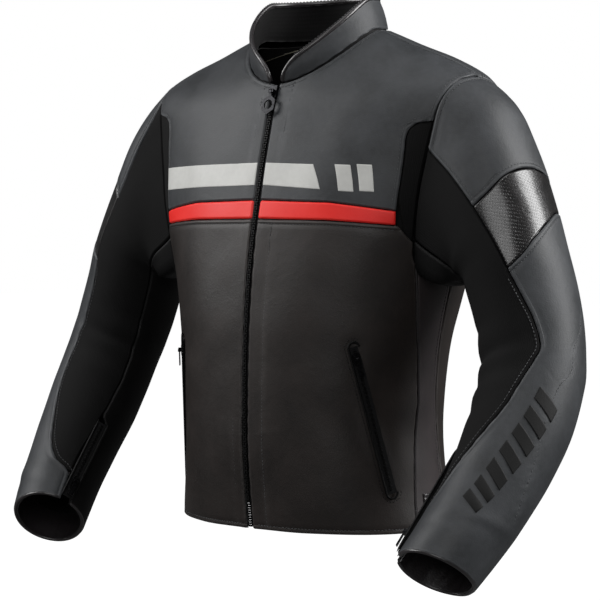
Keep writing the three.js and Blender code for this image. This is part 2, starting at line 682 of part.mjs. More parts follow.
function addSleeve(side) {
  const isRight = side === 'right';
  const { surface, at, length, elbow } = makeSleeve(isRight);
  const add = (name, geometry, colour) => {
    addPiece(`${name}_${side}`, isRight ? mirrored(geometry) : geometry, colour);
  };
  // a ring-shaped strip between two places, from the back seam round the outside to the front seam
  const outerStrip = (from, to, across, along) => bentPlate(
    surface,
    (b) => {
      const place = THREE.MathUtils.lerp(to(70), from(70), b);
      return [frontSeam(place) - 0.5, place];
    },
    (b) => [BACK_SEAM + 0.4, THREE.MathUtils.lerp(to(BACK_SEAM), from(BACK_SEAM), b)],
    across, along,
  );
  const innerStrip = (from, to, across, along) => bentPlate(
    surface,
    (b) => {
      const place = THREE.MathUtils.lerp(to, from, b);
      return [360 + BACK_SEAM - 0.4, place];
    },
    (b) => {
      const place = THREE.MathUtils.lerp(to, from, b);
      return [frontSeam(place) + 0.5, place];
    },
    across, along,
  );
  const fixed = (value) => () => value;
  const start = 2.5;
  const upperEnd = elbow - ELBOW_GAP;
  add('sleeve_cap', outerStrip(fixed(start), (angle) => patchTop(angle) - SEAM_GAP, 9, 5), 'grey');
  const underCap = (angle) => patchTop(angle) + SEAM_GAP;
  const patchEnd = (angle) => patchLow(angle) - SEAM_GAP;
  const underPatch = (angle) => patchLow(angle) + SEAM_GAP;
  add('bicep_patch', outerStrip(underCap, patchEnd, 9, 3), 'gloss');
  add('upper_sleeve_outer', outerStrip(underPatch, fixed(upperEnd), 9, 5), 'grey');
  add('upper_sleeve_inner', innerStrip(start, upperEnd, 9, 7), 'stretch');

  // spherical lining at the elbow, round the elbow's own centre
  const zone = [];
  for (let i = 0; i <= ELBOW_BALL_STEPS; i += 1) {
    const turn = radians(-ELBOW_BALL_REACH + (2 * ELBOW_BALL_REACH * i) / ELBOW_BALL_STEPS);
    zone.push(new THREE.Vector2(ELBOW_BALL * Math.cos(turn), ELBOW_BALL * Math.sin(turn)));
  }
  for (let i = ELBOW_BALL_STEPS; i >= 0; i -= 1) {
    const turn = radians(-ELBOW_BALL_REACH + (2 * ELBOW_BALL_REACH * i) / ELBOW_BALL_STEPS);
    const radius = ELBOW_BALL - ELBOW_BALL_WALL;
    zone.push(new THREE.Vector2(radius * Math.cos(turn), radius * Math.sin(turn)));
  }
  zone.push(zone[0].clone());
  const ball = new THREE.LatheGeometry(zone, 20);
  const forward = at(elbow + 2).sub(at(elbow - 2)).normalize();
  const turn = new THREE.Quaternion().setFromUnitVectors(new THREE.Vector3(0, 1, 0), forward);
  ball.applyQuaternion(turn).translate(...at(elbow).toArray());
  add('elbow_lining', ball, 'lining');

  add('shoulder_protector', bentPlate(surface, edge([[48, 72], [48, 20]]), edge([[-40, 72], [-40, 20]]),
    5, 3, PAD_OUTSIDE, PAD_INSIDE), 'foam');

  const end = length - 1;
  const zip = zipFrame(surface, [CUFF_ZIP_ANGLE, CUFF_ZIP_START], [CUFF_ZIP_ANGLE, length - 5], 0.2);
  const out = new THREE.Vector3().setFromMatrixColumn(zip.frame, 2);
  const zipMiddle = (CUFF_ZIP_START + length) / 2;
  const toAxis = at(zipMiddle).sub(surface(CUFF_ZIP_ANGLE, zipMiddle));
  if (out.dot(toAxis) > 0) {
    const flip = new THREE.Matrix4().makeRotationY(Math.PI);
    zip.frame.multiply(flip);
  }
  // the slot runs out past the end of the sleeve, so that the cuff opens
  const longSlot = placed(new THREE.BoxGeometry(ZIP_SLOT, zip.length + CUFF_SLOT_SPARE, 60)
    .translate(0, -zip.length / 2 - 17, 0), zip.frame);
  const outer = outerStrip(fixed(elbow + FOREARM_OUTER_START), fixed(end), 9, 9);
  const inner = innerStrip(elbow + FOREARM_INNER_START, end, 8, 9);
  add('forearm_outer', cut(outer, longSlot), 'grey');
  add('forearm_inner', cut(inner, longSlot), 'stretch');
  const facing = bentPlate(surface, edge([[500, length - 3], [500, length - FACING_DEPTH]]),
    edge([[170, length - 3], [170, length - FACING_DEPTH]]), 16, 2, -4.2, -5.6);
  add('cuff_facing', cut(facing, longSlot), 'gloss');
  add('elbow_protector', bentPlate(surface, edge([[20, elbow + 118], [20, elbow + 34]]),
    edge([[-70, elbow + 118], [-70, elbow + 34]]), 5, 4, PAD_OUTSIDE, PAD_INSIDE), 'foam');
  add('cuff_zip', placed(closedZip(zip.length, 12.5), zip.frame), 'tape');
  const low = zip.frame.clone().multiply(new THREE.Matrix4().makeTranslation(0, -zip.length + 30, 0));
  addSlider(`cuff_${side}`, low, 'tab', 0.8, isRight);
}

addFrontPanels();
addBackPanels();
addLining();
addCollar();
const hangingPoint = addHangerLoop();
addMainZip();
addSlider('main_zip', mainSliderFrame(), 'ring', 1, false);
addPockets();
addWaistTabs();
addConnectionZip();
addSleeve('left');
addSleeve('right');

jacket.position.copy(hangingPoint).negate();
const group = new THREE.Group();
group.add(jacket);

export default group;
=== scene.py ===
import bpy
import numpy as np
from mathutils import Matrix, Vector


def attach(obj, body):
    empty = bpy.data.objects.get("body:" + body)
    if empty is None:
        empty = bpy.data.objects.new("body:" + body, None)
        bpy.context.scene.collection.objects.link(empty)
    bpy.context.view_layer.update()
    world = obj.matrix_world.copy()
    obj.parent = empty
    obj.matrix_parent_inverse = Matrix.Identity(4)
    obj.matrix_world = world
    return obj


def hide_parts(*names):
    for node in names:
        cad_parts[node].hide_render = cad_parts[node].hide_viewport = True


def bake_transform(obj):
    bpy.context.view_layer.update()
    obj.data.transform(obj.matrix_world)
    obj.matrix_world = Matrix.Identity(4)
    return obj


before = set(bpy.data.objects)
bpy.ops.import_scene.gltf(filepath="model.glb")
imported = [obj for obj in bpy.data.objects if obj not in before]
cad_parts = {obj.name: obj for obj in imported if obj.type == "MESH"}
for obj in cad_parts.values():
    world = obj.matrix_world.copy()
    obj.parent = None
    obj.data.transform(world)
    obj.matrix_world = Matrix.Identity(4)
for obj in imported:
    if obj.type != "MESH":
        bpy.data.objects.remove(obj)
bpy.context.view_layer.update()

# ---------------------------------------------------------------- shared sizes, in millimetres
# Heights are measured from the hem. The hanging point inside the collar is the row's origin.
ORIGIN = np.array([0.0, 60.4, 580.0])
HALF_WIDTH = [(0, 172), (65, 165), (130, 162), (210, 170), (290, 190), (350, 209), (410, 227),
              (460, 239), (495, 243), (518, 226), (540, 182), (560, 131), (578, 84)]
BACK_DEPTH = [(0, 112), (130, 102), (290, 122), (400, 127), (500, 117), (540, 105), (578, 82)]
SIDE_SHIFT = [(0, 0), (210, 2), (350, 8), (440, 8), (520, 7), (578, 9)]
NECK, SHOULDER, THROAT_DROP = 578.0, 400.0, 64.0
ARC_RADIUS, ARC_HEIGHT, FRONT_DEPTH = 1150.0, 150.0, 134.0
ARM_CENTRE = np.array([209.0, 5.0, 412.0])
ARM_NORMAL = np.array([1, -0.25, -0.15]) / np.linalg.norm([1, -0.25, -0.15])
RINGS = [(209, 5, 412), (243, 5, 385), (269, 2, 338), (290, 0, 278), (304, -4, 232),
         (314, -15, 189), (317, -46, 132), (309, -92, 65), (295, -130, 16), (277, -164, -28)]
RIGHT_RINGS = RINGS[:7] + [(312, -92, 68), (301, -130, 24), (288, -162, -12)]
RING_FRONT_BACK = [72, 70, 66, 62, 60, 58, 57, 51, 47, 44]
RING_IN_OUT = [70, 66, 62, 60, 59, 58, 57, 51, 47, 44]
ELBOW_RING = 5
POCKET_TOP, POCKET_END = (46.0, 214.0), (66.0, 47.0)     # angle round the body, height
SHELL = 1.7              # leather with its backing
ZIP_EDGE = 4.6           # half the gap between the two leather edges at the front
FRONT_ZIP = (3.0, 511.0)
FACING_SEAM = {"left": 25, "right": 17}    # distance of the stitching beside the zip from the middle
STRETCH_RISE = {"left": 0, "right": 19}    # the stretch panel reaches higher on the wearer's right
SIDES = {"left": False, "right": True}     # whether a piece is mirrored


def place(points):
    """Millimetres from the hem to metres in the row frame."""
    return (points - ORIGIN) * 0.001


def spline(rows, x):
    """Cubic through the rows (place, value); each slope is the chord of its two neighbours."""
    k = np.array([r[0] for r in rows], float)
    v = np.array([r[1] for r in rows], float)
    x = np.clip(np.asarray(x, float), k[0], k[-1])
    wide = (-1,) + (1,) * (v.ndim - 1)
    m = np.empty_like(v)
    m[1:-1] = (v[2:] - v[:-2]) / (k[2:] - k[:-2]).reshape(wide)
    m[0] = (v[1] - v[0]) / (k[1] - k[0])
    m[-1] = (v[-1] - v[-2]) / (k[-1] - k[-2])
    i = np.clip(np.searchsorted(k, x, side="right") - 1, 0, len(k) - 2)
    h = k[i + 1] - k[i]
    t = (x - k[i]) / h
    if v.ndim > 1:
        t, h = t[..., None], h[..., None]
    return ((2 * t**3 - 3 * t**2 + 1) * v[i] + (t**3 - 2 * t**2 + t) * h * m[i]
            + (3 * t**2 - 2 * t**3) * v[i + 1] + (t**3 - t**2) * h * m[i + 1])


def smooth(x):
    """Step from 0 to 1 with level ends: 3 x^2 - 2 x^3, held outside 0 and 1."""
    x = np.clip(x, 0, 1)
    return x * x * (3 - 2 * x)


def unit(a):
    """Vectors scaled to length 1."""
    return a / np.maximum(np.linalg.norm(a, axis=-1, keepdims=True), 1e-9)


# ---------------------------------------------------------------- the surfaces of the jacket
def front(z):
    """Depth of the front closure: an arc of 1150 mm in the middle plane, fullest at 150 mm."""
    return FRONT_DEPTH - ARC_RADIUS + np.sqrt(ARC_RADIUS**2 - (np.asarray(z, float) - ARC_HEIGHT)**2)


def torso(angle, v):
    """Superellipse rings: x = half width * |sin|^(2/n), y = depth * |cos|^(2/n).
    Above the shoulder height the rings drop at the throat and rise at the nape."""
    angle, v = np.broadcast_arrays(np.radians(np.asarray(angle, float)), np.asarray(v, float))
    s = np.clip((v - SHOULDER) / (NECK - SHOULDER), 0, 1)
    low = v - THROAT_DROP * s**1.85
    high = v + 4 * s + 9 * np.sin(np.pi * s**1.6)
    half, back, shift = spline(HALF_WIDTH, v), spline(BACK_DEPTH, v), spline(SIDE_SHIFT, v)
    sine, cosine = np.sin(angle), np.cos(angle)
    at_front = cosine > 0
    n = np.where(at_front, 2.2 - 0.2 * s, 2.4 - 0.4 * s)
    reach = np.abs(cosine)**(2 / n)
    y = shift - np.sign(cosine) * reach * np.where(at_front, front(low) + shift, back - shift)
    z = v + np.abs(cosine)**1.5 * np.where(at_front, low - v, high - v)
    return np.stack([half * np.sign(sine) * np.abs(sine)**(2 / n), y, z], -1)


def angle_at(x, v):
    """Angle round the front at which the surface is x away from the middle plane."""
    v = np.asarray(v, float)
    s = np.clip((v - SHOULDER) / (NECK - SHOULDER), 0, 1)
    return np.degrees(np.arcsin((x / spline(HALF_WIDTH, v))**((2.2 - 0.2 * s) / 2)))


ARM_FRONT = unit(np.array([0, -1.0, 0]) + ARM_NORMAL * ARM_NORMAL[1])
ARM_UP = np.cross(ARM_FRONT, ARM_NORMAL) * np.sign(np.cross(ARM_FRONT, ARM_NORMAL)[2])


def armhole_table():
    """The body's outline in the armhole plane, found by halving: heights, front and back angles."""
    v = np.arange(250, 560, 0.25)
    past = v[(torso(90.0, v) - ARM_CENTRE) @ ARM_NORMAL > 0]
    low, high = past.min() + 0.05, past.max() - 0.05
    v = low + (high - low) * (1 - np.cos(np.linspace(0, np.pi, 81))) / 2
    found = []
    for inside in (20.0, 170.0):
        a, b = np.full(v.shape, inside), np.full(v.shape, 90.0)
        for _ in range(40):
            m = (a + b) / 2
            beyond = (torso(m, v) - ARM_CENTRE) @ ARM_NORMAL > 0
            a, b = np.where(beyond, a, m), np.where(beyond, m, b)
        found.append(a)
    return v, found[0], found[1]


HOLE_V, HOLE_FRONT, HOLE_BACK = armhole_table()


def armhole(angle):
    """Point of the armhole seam in a direction round its centre: 0 top, 90 front, 180 underarm."""
    rim = np.vstack([torso(HOLE_FRONT, HOLE_V), torso(HOLE_BACK, HOLE_V)[::-1]]) - ARM_CENTRE
    turn = np.degrees(np.arctan2(rim @ ARM_FRONT, rim @ ARM_UP)) % 360
    radius = np.hypot(rim @ ARM_FRONT, rim @ ARM_UP)
    order = np.argsort(turn)
    turn, radius = turn[order], radius[order]
    r = np.interp(np.asarray(angle, float) % 360, np.r_[turn - 360, turn, turn + 360], np.tile(radius, 3))
    p = np.radians(angle)
    return ARM_CENTRE + (r * np.cos(p))[..., None] * ARM_UP + (r * np.sin(p))[..., None] * ARM_FRONT


def armhole_seam(low, high, branch, count=40):
    """Rows (angle, height) along the armhole between two heights."""
    v = np.linspace(low, high, count)
    return [(a, b) for a, b in zip(np.interp(v, HOLE_V, branch), v)]


def make_sleeve(rings):
    """Ellipses along a smooth arm line; the first 150 mm turn the armhole outline into an ellipse.
    Angle 0 is the outside of the arm, 90 the front, 180 the inside; place is mm down the arm."""
    centres = np.array(rings, float)
    step = np.linalg.norm(np.diff(centres, axis=0), axis=1)
    places = np.concatenate([[0], np.cumsum(step)])

    def line(s):
        """Middle of the arm at a place."""
        return spline(list(zip(places, centres.tolist())), s)

    def forward(s):
        """Direction down the arm, from the middles 2 mm before and after."""
        return unit(line(np.minimum(s + 2, places[-1])) - line(np.maximum(s - 2, 0)))

    def surface(angle, s):
        """Ring of the arm square to its line, blended with the armhole's outline near the shoulder."""
        angle, s = np.broadcast_arrays(np.asarray(angle, float), np.asarray(s, float))
        t = forward(s)
        e1 = unit(np.array([0, -1.0, 0]) + t * t[..., 1:2])
        e2 = np.cross(t, e1)
        e2 = np.where(e2[..., :1] < 0, -e2, e2)
        p = np.radians(angle)
        wide = spline(list(zip(places, RING_FRONT_BACK)), s)
        deep = spline(list(zip(places, RING_IN_OUT)), s)
        centre = line(s)
        ring = centre + (np.cos(p) * deep)[..., None] * e2 + (np.sin(p) * wide)[..., None] * e1
        q = smooth(s / 150.0)[..., None]
        return (armhole(angle) + centre - centres[0]) * (1 - q) + ring * q

    return surface, line, forward, places


SLEEVES = {"left": make_sleeve(RINGS), "right": make_sleeve(RIGHT_RINGS)}

COLLAR_HEIGHT = [(0, 7), (8, 15), (20, 25), (45, 32), (90, 35), (180, 37)]
COLLAR_LEAN = [(0, 0), (8, 2), (20, 3), (45, 0), (90, -10), (180, -8)]


def collar(angle, mm):
    """Stand collar: the neck ring carried up by the height curve and tipped by the lean curve."""
    angle, mm = np.broadcast_arrays(np.asarray(angle, float), np.asarray(mm, float))
    turned = np.abs((angle + 180) % 360 - 180)
    t = mm / 40.0
    lean = spline(COLLAR_LEAN, turned) * t + 1.3 * np.sin(np.pi * np.clip(t, 0, 1))
    rise = spline(COLLAR_HEIGHT, turned) * t
    p = np.radians(angle)
    return torso(angle, NECK) + np.stack([np.sin(p) * lean, -np.cos(p) * lean, rise], -1)


def closure(x, v):
    """Flat across, following the front arc up the middle plane."""
    x, v = np.broadcast_arrays(np.asarray(x, float), np.asarray(v, float))
    return np.stack([x, -front(v), v], -1)


def outward(surface, u, v):
    """Unit normal from the two directions along the surface, 0.3 apart."""
    across = surface(u + 0.3, v) - surface(u - 0.3, v)
    along = surface(u, v + 0.3) - surface(u, v - 0.3)
    return unit(np.cross(across, along))


def softness(p):
    """Low swells of worn leather: three slow waves that cross one another, under 2 mm high."""
    x, y, z = p[..., 0], p[..., 1], p[..., 2]
    return (0.8 * np.sin(x / 34 + z / 61 + 1.3) * np.sin(z / 47 - y / 39 + 0.4)
            + 0.5 * np.sin(x / 19 - z / 27 + y / 33 + 2.0) * np.sin(z / 71 + x / 53)
            + 0.25 * np.sin(z / 11 + x / 26 + 1.1) * np.sin(y / 21 - x / 17))


# place down the arm, angle, width along, width round, height: folds at the elbow and above the cuff
FOLDS = [(222, 150, 11, 50, 1.3), (242, 122, 10, 52, -2.0), (262, 136, 10, 50, 1.6), (281, 118, 10, 46, -1.9),
         (300, 138, 11, 42, 1.2), (205, 165, 9, 40, -1.6), (325, 150, 10, 40, -1.4), (130, 150, 12, 50, -1.8),
         (105, 165, 11, 44, 1.6), (455, 40, 10, 55, 0.9), (478, 90, 8, 50, -0.8), (250, -60, 11, 40, 1.3)]


def sleeve_folds(angle, s):
    """Sum of bell-shaped ridges and hollows that run round the arm, tilted a little."""
    total = np.zeros(np.broadcast(angle, s).shape)
    for at, turn, along, around, height in FOLDS:
        away = (angle - turn + 180) % 360 - 180
        total = total + height * np.exp(-((s - at - 0.22 * away) / along)**2 - (away / around)**2)
    return total


def plain(angle, s):
    """No folds: height 0 everywhere."""
    return 0.0 * (angle + s)


# place on the body (angle, height), widths, height: drapes at the waist and from the chest to the arm
DRAPES = [(40, 60, 10, 60, 1.2), (60, 120, 9, 70, -1.4), (86, 150, 6, 60, 1.2), (26, 250, 9, 80, 0.9),
          (50, 290, 8, 40, -1.0), (150, 140, 10, 70, 1.4), (128, 240, 9, 90, -1.4), (205, 190, 12, 90, -1.2)]


def body_drapes(angle, v):
    """Sum of bell-shaped ridges and hollows on the body."""
    total = np.zeros(np.broadcast(angle, v).shape)
    for turn, at, around, along, height in DRAPES:
        away = (angle - turn + 180) % 360 - 180
        total = total + height * np.exp(-(away / around)**2 - ((v - at) / along)**2)
    return total


# ---------------------------------------------------------------- materials
def colour(code):
    """sRGB hex to the linear numbers that the shader wants."""
    c = np.array([int(code[i:i + 2], 16) for i in (1, 3, 5)]) / 255
    linear = np.where(c <= 0.04045, c / 12.92, ((c + 0.055) / 1.055)**2.4)
    return (*linear.tolist(), 1.0)


def add(tree, kind, values=None, links=None, **settings):
    """One node with its settings, its input values and the sockets that feed it."""
    made = tree.nodes.new(kind)
    for key, value in settings.items():
        setattr(made, key, value)
    for key, value in (values or {}).items():
        made.inputs[key].default_value = value
    for key, source in (links or {}).items():
        tree.links.new(source, made.inputs[key])
    return made


def material(name, shader):
    """Empty node material whose Principled shader takes the plain numbers given."""
    made = bpy.data.materials.new(name)
    made.use_nodes = True
    tree = made.node_tree
    tree.nodes.clear()
    surface = add(tree, "ShaderNodeBsdfPrincipled", shader)
    add(tree, "ShaderNodeOutputMaterial", links={"Surface": surface.outputs["BSDF"]})
    return made, tree, surface


def leather(name, deep, face, rough=0.5, grain=1.5, relief=0.16, coat=0.0, coat_rough=0.3, rub_and_highlight=0.35,
            gleam=0.5, crease=0.5):
    """Dyed and finished cowhide: pebble grain of the given cell in mm, cloudy dye, and seam edges painted
    paler in patches, partly as worn hide and partly as a painted highlight where the edge rolls.
    """
    made, tree, surface = material(name, {"Roughness": rough, "IOR": 1.5, "Coat Weight": coat,
                                          "Specular IOR Level": gleam, "Coat Roughness": coat_rough})
    at = add(tree, "ShaderNodeTexCoord").outputs["Object"]
    # clouds in the dye about 45 mm across, and a finer mottle of 6 mm
    cloud = add(tree, "ShaderNodeTexNoise", {"Scale": 22.0, "Detail": 3.0}, {"Vector": at})
    mottle = add(tree, "ShaderNodeTexNoise", {"Scale": 170.0, "Detail": 2.0}, {"Vector": at})
    mixed = add(tree, "ShaderNodeMath", {1: 0.35}, {0: mottle.outputs["Fac"]}, operation="MULTIPLY")
    dye = add(tree, "ShaderNodeMath", links={0: cloud.outputs["Fac"], 1: mixed.outputs[0]}, operation="ADD")
    ramp = add(tree, "ShaderNodeValToRGB", links={"Fac": dye.outputs[0]})
    ramp.color_ramp.elements[0].position, ramp.color_ramp.elements[0].color = 0.42, colour(deep)
    ramp.color_ramp.elements[1].position, ramp.color_ramp.elements[1].color = 0.92, colour(face)
    # seam edges are painted paler in patches: partly worn hide, partly a painted highlight where the edge
    # rolls down
    worn_and_highlit = add(tree, "ShaderNodeAttribute", attribute_name="rub_and_highlight")
    patchy = add(tree, "ShaderNodeMath", {1: rub_and_highlight}, {0: worn_and_highlit.outputs["Fac"]}, operation="MULTIPLY")
    patchy = add(tree, "ShaderNodeMath", links={0: patchy.outputs[0], 1: mottle.outputs["Fac"]},
                 operation="MULTIPLY")
    pale = tuple(min(1.0, 0.09 + 1.7 * c) for c in colour(face)[:3]) + (1.0,)
    tint = add(tree, "ShaderNodeMix", {"B": pale}, {"Factor": patchy.outputs[0]}, data_type="RGBA")
    tree.links.new(ramp.outputs["Color"], tint.inputs["A"])
    tree.links.new(tint.outputs["Result"], surface.inputs["Base Color"])
    # pebble grain: cells of the given size, creased by a slower noise so that they aren't regular
    cells = add(tree, "ShaderNodeTexVoronoi", {"Scale": 1000.0 / grain}, {"Vector": at}, feature="SMOOTH_F1")
    pores = add(tree, "ShaderNodeTexNoise", {"Scale": 1000.0 / (grain * 0.8), "Detail": 4.0}, {"Vector": at})
    height = add(tree, "ShaderNodeMath", links={0: cells.outputs["Distance"], 1: pores.outputs["Fac"]},
                 operation="ADD")
    bump = add(tree, "ShaderNodeBump", {"Strength": 0.5, "Distance": relief * 0.001},
               {"Height": height.outputs[0]})
    # handled leather crumples in soft creases about 20 mm long
    crumple = add(tree, "ShaderNodeTexNoise", {"Scale": 50.0, "Detail": 3.0, "Distortion": 0.8},
                  {"Vector": at})
    swell = add(tree, "ShaderNodeBump", {"Strength": 0.6, "Distance": crease * 0.001},
                {"Height": crumple.outputs["Fac"], "Normal": bump.outputs["Normal"]})
    tree.links.new(swell.outputs["Normal"], surface.inputs["Normal"])
    shine = add(tree, "ShaderNodeMapRange", {"To Min": rough - 0.07, "To Max": rough + 0.09},
                {"Value": dye.outputs[0]})
    tree.links.new(shine.outputs["Result"], surface.inputs["Roughness"])
    return made


def cloth(name, deep, face, pitch, rough=0.85, sheen=0.25, relief=0.15, weave=False):
    """Knit or woven cloth on the piece's own lengths: ribs at the given pitch in mm, crossed if woven,
    painted darker in the grooves between them as painted shade.
    """
    made, tree, surface = material(name, {"Roughness": rough, "Sheen Weight": sheen,
                                          "Sheen Roughness": 0.45, "Specular IOR Level": 0.25})
    at = add(tree, "ShaderNodeUVMap", uv_map="mm").outputs["UV"]
    # the bands repeat every 0.3142 / Scale lengths, and the map is in millimetres
    ribs = add(tree, "ShaderNodeTexWave", {"Scale": 0.3142 / pitch, "Distortion": 0.6}, {"Vector": at},
               wave_type="BANDS", bands_direction="X")
    height = ribs.outputs["Fac"]
    if weave:
        other = add(tree, "ShaderNodeTexWave", {"Scale": 0.3142 / pitch, "Distortion": 0.4}, {"Vector": at},
                    wave_type="BANDS", bands_direction="Y")
        height = add(tree, "ShaderNodeMath", links={0: height, 1: other.outputs["Fac"]},
                     operation="MULTIPLY").outputs[0]
    fuzz = add(tree, "ShaderNodeTexNoise", {"Scale": 0.35, "Detail": 5.0}, {"Vector": at})
    blend = add(tree, "ShaderNodeMath", links={0: height, 1: fuzz.outputs["Fac"]}, operation="MULTIPLY")
    # the grooves between the ribs take the deep colour, a painted shade, broken up by the fuzz noise
    ramp = add(tree, "ShaderNodeValToRGB", links={"Fac": blend.outputs[0]})
    ramp.color_ramp.elements[0].position, ramp.color_ramp.elements[0].color = 0.1, colour(deep)
    ramp.color_ramp.elements[1].position, ramp.color_ramp.elements[1].color = 0.6, colour(face)
    tree.links.new(ramp.outputs["Color"], surface.inputs["Base Color"])
    bump = add(tree, "ShaderNodeBump", {"Strength": 0.6, "Distance": relief * 0.001}, {"Height": height})
    tree.links.new(bump.outputs["Normal"], surface.inputs["Normal"])
    return made


# cowhide dyed slate grey, plated flat: almost matt, with a soft broad highlight
GREY = leather("slate_cowhide", "#2b2d2f", "#3e4043", rough=0.48, gleam=0.38)
# white pigmented cowhide: opaque and smooth, a warm off-white
WHITE = leather("white_cowhide", "#c2c2be", "#d6d6d2", rough=0.45, relief=0.08, rub_and_highlight=0.0, crease=0.2)
# red pigmented cowhide: opaque, saturated, smoother than the rest
RED = leather("red_cowhide", "#fb2420", "#ff3129", rough=0.42, relief=0.08, rub_and_highlight=0.1, gleam=0.4, crease=0.3)
# black-brown cowhide: very dark warm brown, soft sheen where it swells
BROWN = leather("black_brown_cowhide", "#191412", "#261f1c", rough=0.47, gleam=0.5)
# softer side leather: a little redder and paler
SIDE = leather("soft_side_cowhide", "#231e1f", "#322b2c", rough=0.46)
# black cowhide inside the arm: nearly black, a faint soft shine
BLACK = leather("black_cowhide", "#040404", "#0a090a", rough=0.55, rub_and_highlight=0.1, gleam=0.22)
# printed bars on the forearm: matt black rubbery ink
BARS = leather("matt_black_ink", "#060606", "#0b0b0b", rough=0.6, rub_and_highlight=0.0, gleam=0.3, crease=0.1)
# glazed black cowhide for binding and facings: wet-looking with coarse grain
GLOSS = leather("glazed_black_cowhide", "#1a1718", "#2c282a", rough=0.3, grain=2.2, relief=0.4,
                coat=0.5, coat_rough=0.18)
# stretch knit: black ribbed nylon, swallows light, a little fuzz
STRETCH = cloth("stretch_rib_knit", "#030303", "#0c0b0c", pitch=2.0, sheen=0.0, relief=0.2)
# lining: smooth black warp knit mesh
LINING = cloth("lining_mesh_knit", "#070607", "#151314", pitch=2.4, rough=0.7, sheen=0.1, weave=True)
# woven polyester tape of zips and the hanging strap: threads drawn 1.6 mm apart so that they show
TAPE = cloth("woven_zip_tape", "#080809", "#1b1b1d", pitch=1.6, rough=0.7, sheen=0.05, weave=True)
# bonded nylon thread, slightly paler than the leather: twisted strands drawn as 0.8 mm ribs
THREAD = cloth("bonded_nylon_thread", "#343536", "#5d5e60", pitch=0.8, rough=0.5, sheen=0.0)
BLACK_THREAD = cloth("black_bonded_thread", "#0b0b0c", "#242426", pitch=0.8, rough=0.5, sheen=0.0)
# soft red care tag of woven satin
TAG = cloth("red_satin_tag", "#8e1512", "#c82722", pitch=1.2, rough=0.45, sheen=0.2, weave=True)
# pale cord piped along the lining's edge
PIPING = cloth("pale_piping_cord", "#8f8a78", "#c9c4b0", pitch=1.2, rough=0.7, sheen=0.2)


def metal_material():
    """Zinc casting lacquered black: satin, with cloudy patches 2.4 mm across that vary its colour, gloss
    and height a little."""
    made, tree, surface = material("black_lacquered_zinc", {"Metallic": 0.85, "Roughness": 0.32})
    at = add(tree, "ShaderNodeTexCoord").outputs["Object"]
    patches = add(tree, "ShaderNodeTexNoise", {"Scale": 420.0, "Detail": 4.0}, {"Vector": at})
    ramp = add(tree, "ShaderNodeValToRGB", links={"Fac": patches.outputs["Fac"]})
    ramp.color_ramp.elements[0].position, ramp.color_ramp.elements[0].color = 0.35, colour("#0c0c0d")
    ramp.color_ramp.elements[1].position, ramp.color_ramp.elements[1].color = 0.75, colour("#2a2a2d")
    tree.links.new(ramp.outputs["Color"], surface.inputs["Base Color"])
    rough = add(tree, "ShaderNodeMapRange", {"To Min": 0.24, "To Max": 0.42},
                {"Value": patches.outputs["Fac"]})
    tree.links.new(rough.outputs["Result"], surface.inputs["Roughness"])
    bump = add(tree, "ShaderNodeBump", {"Strength": 0.3, "Distance": 0.00005},
               {"Height": patches.outputs["Fac"]})
    tree.links.new(bump.outputs["Normal"], surface.inputs["Normal"])
    return made


def perforated_material():
    """Glazed cowhide punched with small holes in staggered rows 5 mm apart, about 1.9 mm wide. Its crinkles
    are painted lighter where they rise: a cloudy tone that is partly a painted highlight.
    """
    made, tree, surface = material("punched_glazed_cowhide", {"Roughness": 0.3, "IOR": 1.5,
                                                              "Coat Weight": 0.5, "Coat Roughness": 0.2})
    at = add(tree, "ShaderNodeUVMap", uv_map="mm").outputs["UV"]
    # rows turned by 45 degrees put the holes 5 mm apart across and along
    turned = add(tree, "ShaderNodeMapping", {"Rotation": (0, 0, np.pi / 4), "Scale": (0.283, 0.283, 1)},
                 {"Vector": at})
    dots = add(tree, "ShaderNodeTexVoronoi", {"Scale": 1.0, "Randomness": 0.0},
               {"Vector": turned.outputs["Vector"]}, voronoi_dimensions="2D")
    hole = add(tree, "ShaderNodeMapRange", {"From Min": 0.22, "From Max": 0.32},
               {"Value": dots.outputs["Distance"]})
    spot = add(tree, "ShaderNodeTexCoord").outputs["Object"]
    crease = add(tree, "ShaderNodeTexNoise", {"Scale": 95.0, "Detail": 5.0, "Distortion": 0.6},
                 {"Vector": spot})
    # the crinkle noise paints the leather lighter where the crinkles rise: random tone and partly a painted
    # highlight
    ramp = add(tree, "ShaderNodeValToRGB", links={"Fac": crease.outputs["Fac"]})
    ramp.color_ramp.elements[0].position, ramp.color_ramp.elements[0].color = 0.35, colour("#0b0a0a")
    ramp.color_ramp.elements[1].position, ramp.color_ramp.elements[1].color = 0.8, colour("#262324")
    dark = add(tree, "ShaderNodeMix", {"A": colour("#020202")}, {"Factor": hole.outputs["Result"]},
               data_type="RGBA")
    tree.links.new(ramp.outputs["Color"], dark.inputs["B"])
    tree.links.new(dark.outputs["Result"], surface.inputs["Base Color"])
    raised = add(tree, "ShaderNodeMath", {1: 0.9}, {0: crease.outputs["Fac"]}, operation="MULTIPLY")
    raised = add(tree, "ShaderNodeMath", links={0: raised.outputs[0], 1: hole.outputs["Result"]},
                 operation="ADD")
    bump = add(tree, "ShaderNodeBump", {"Strength": 0.7, "Distance": 0.0007}, {"Height": raised.outputs[0]})
    tree.links.new(bump.outputs["Normal"], surface.inputs["Normal"])
    return made


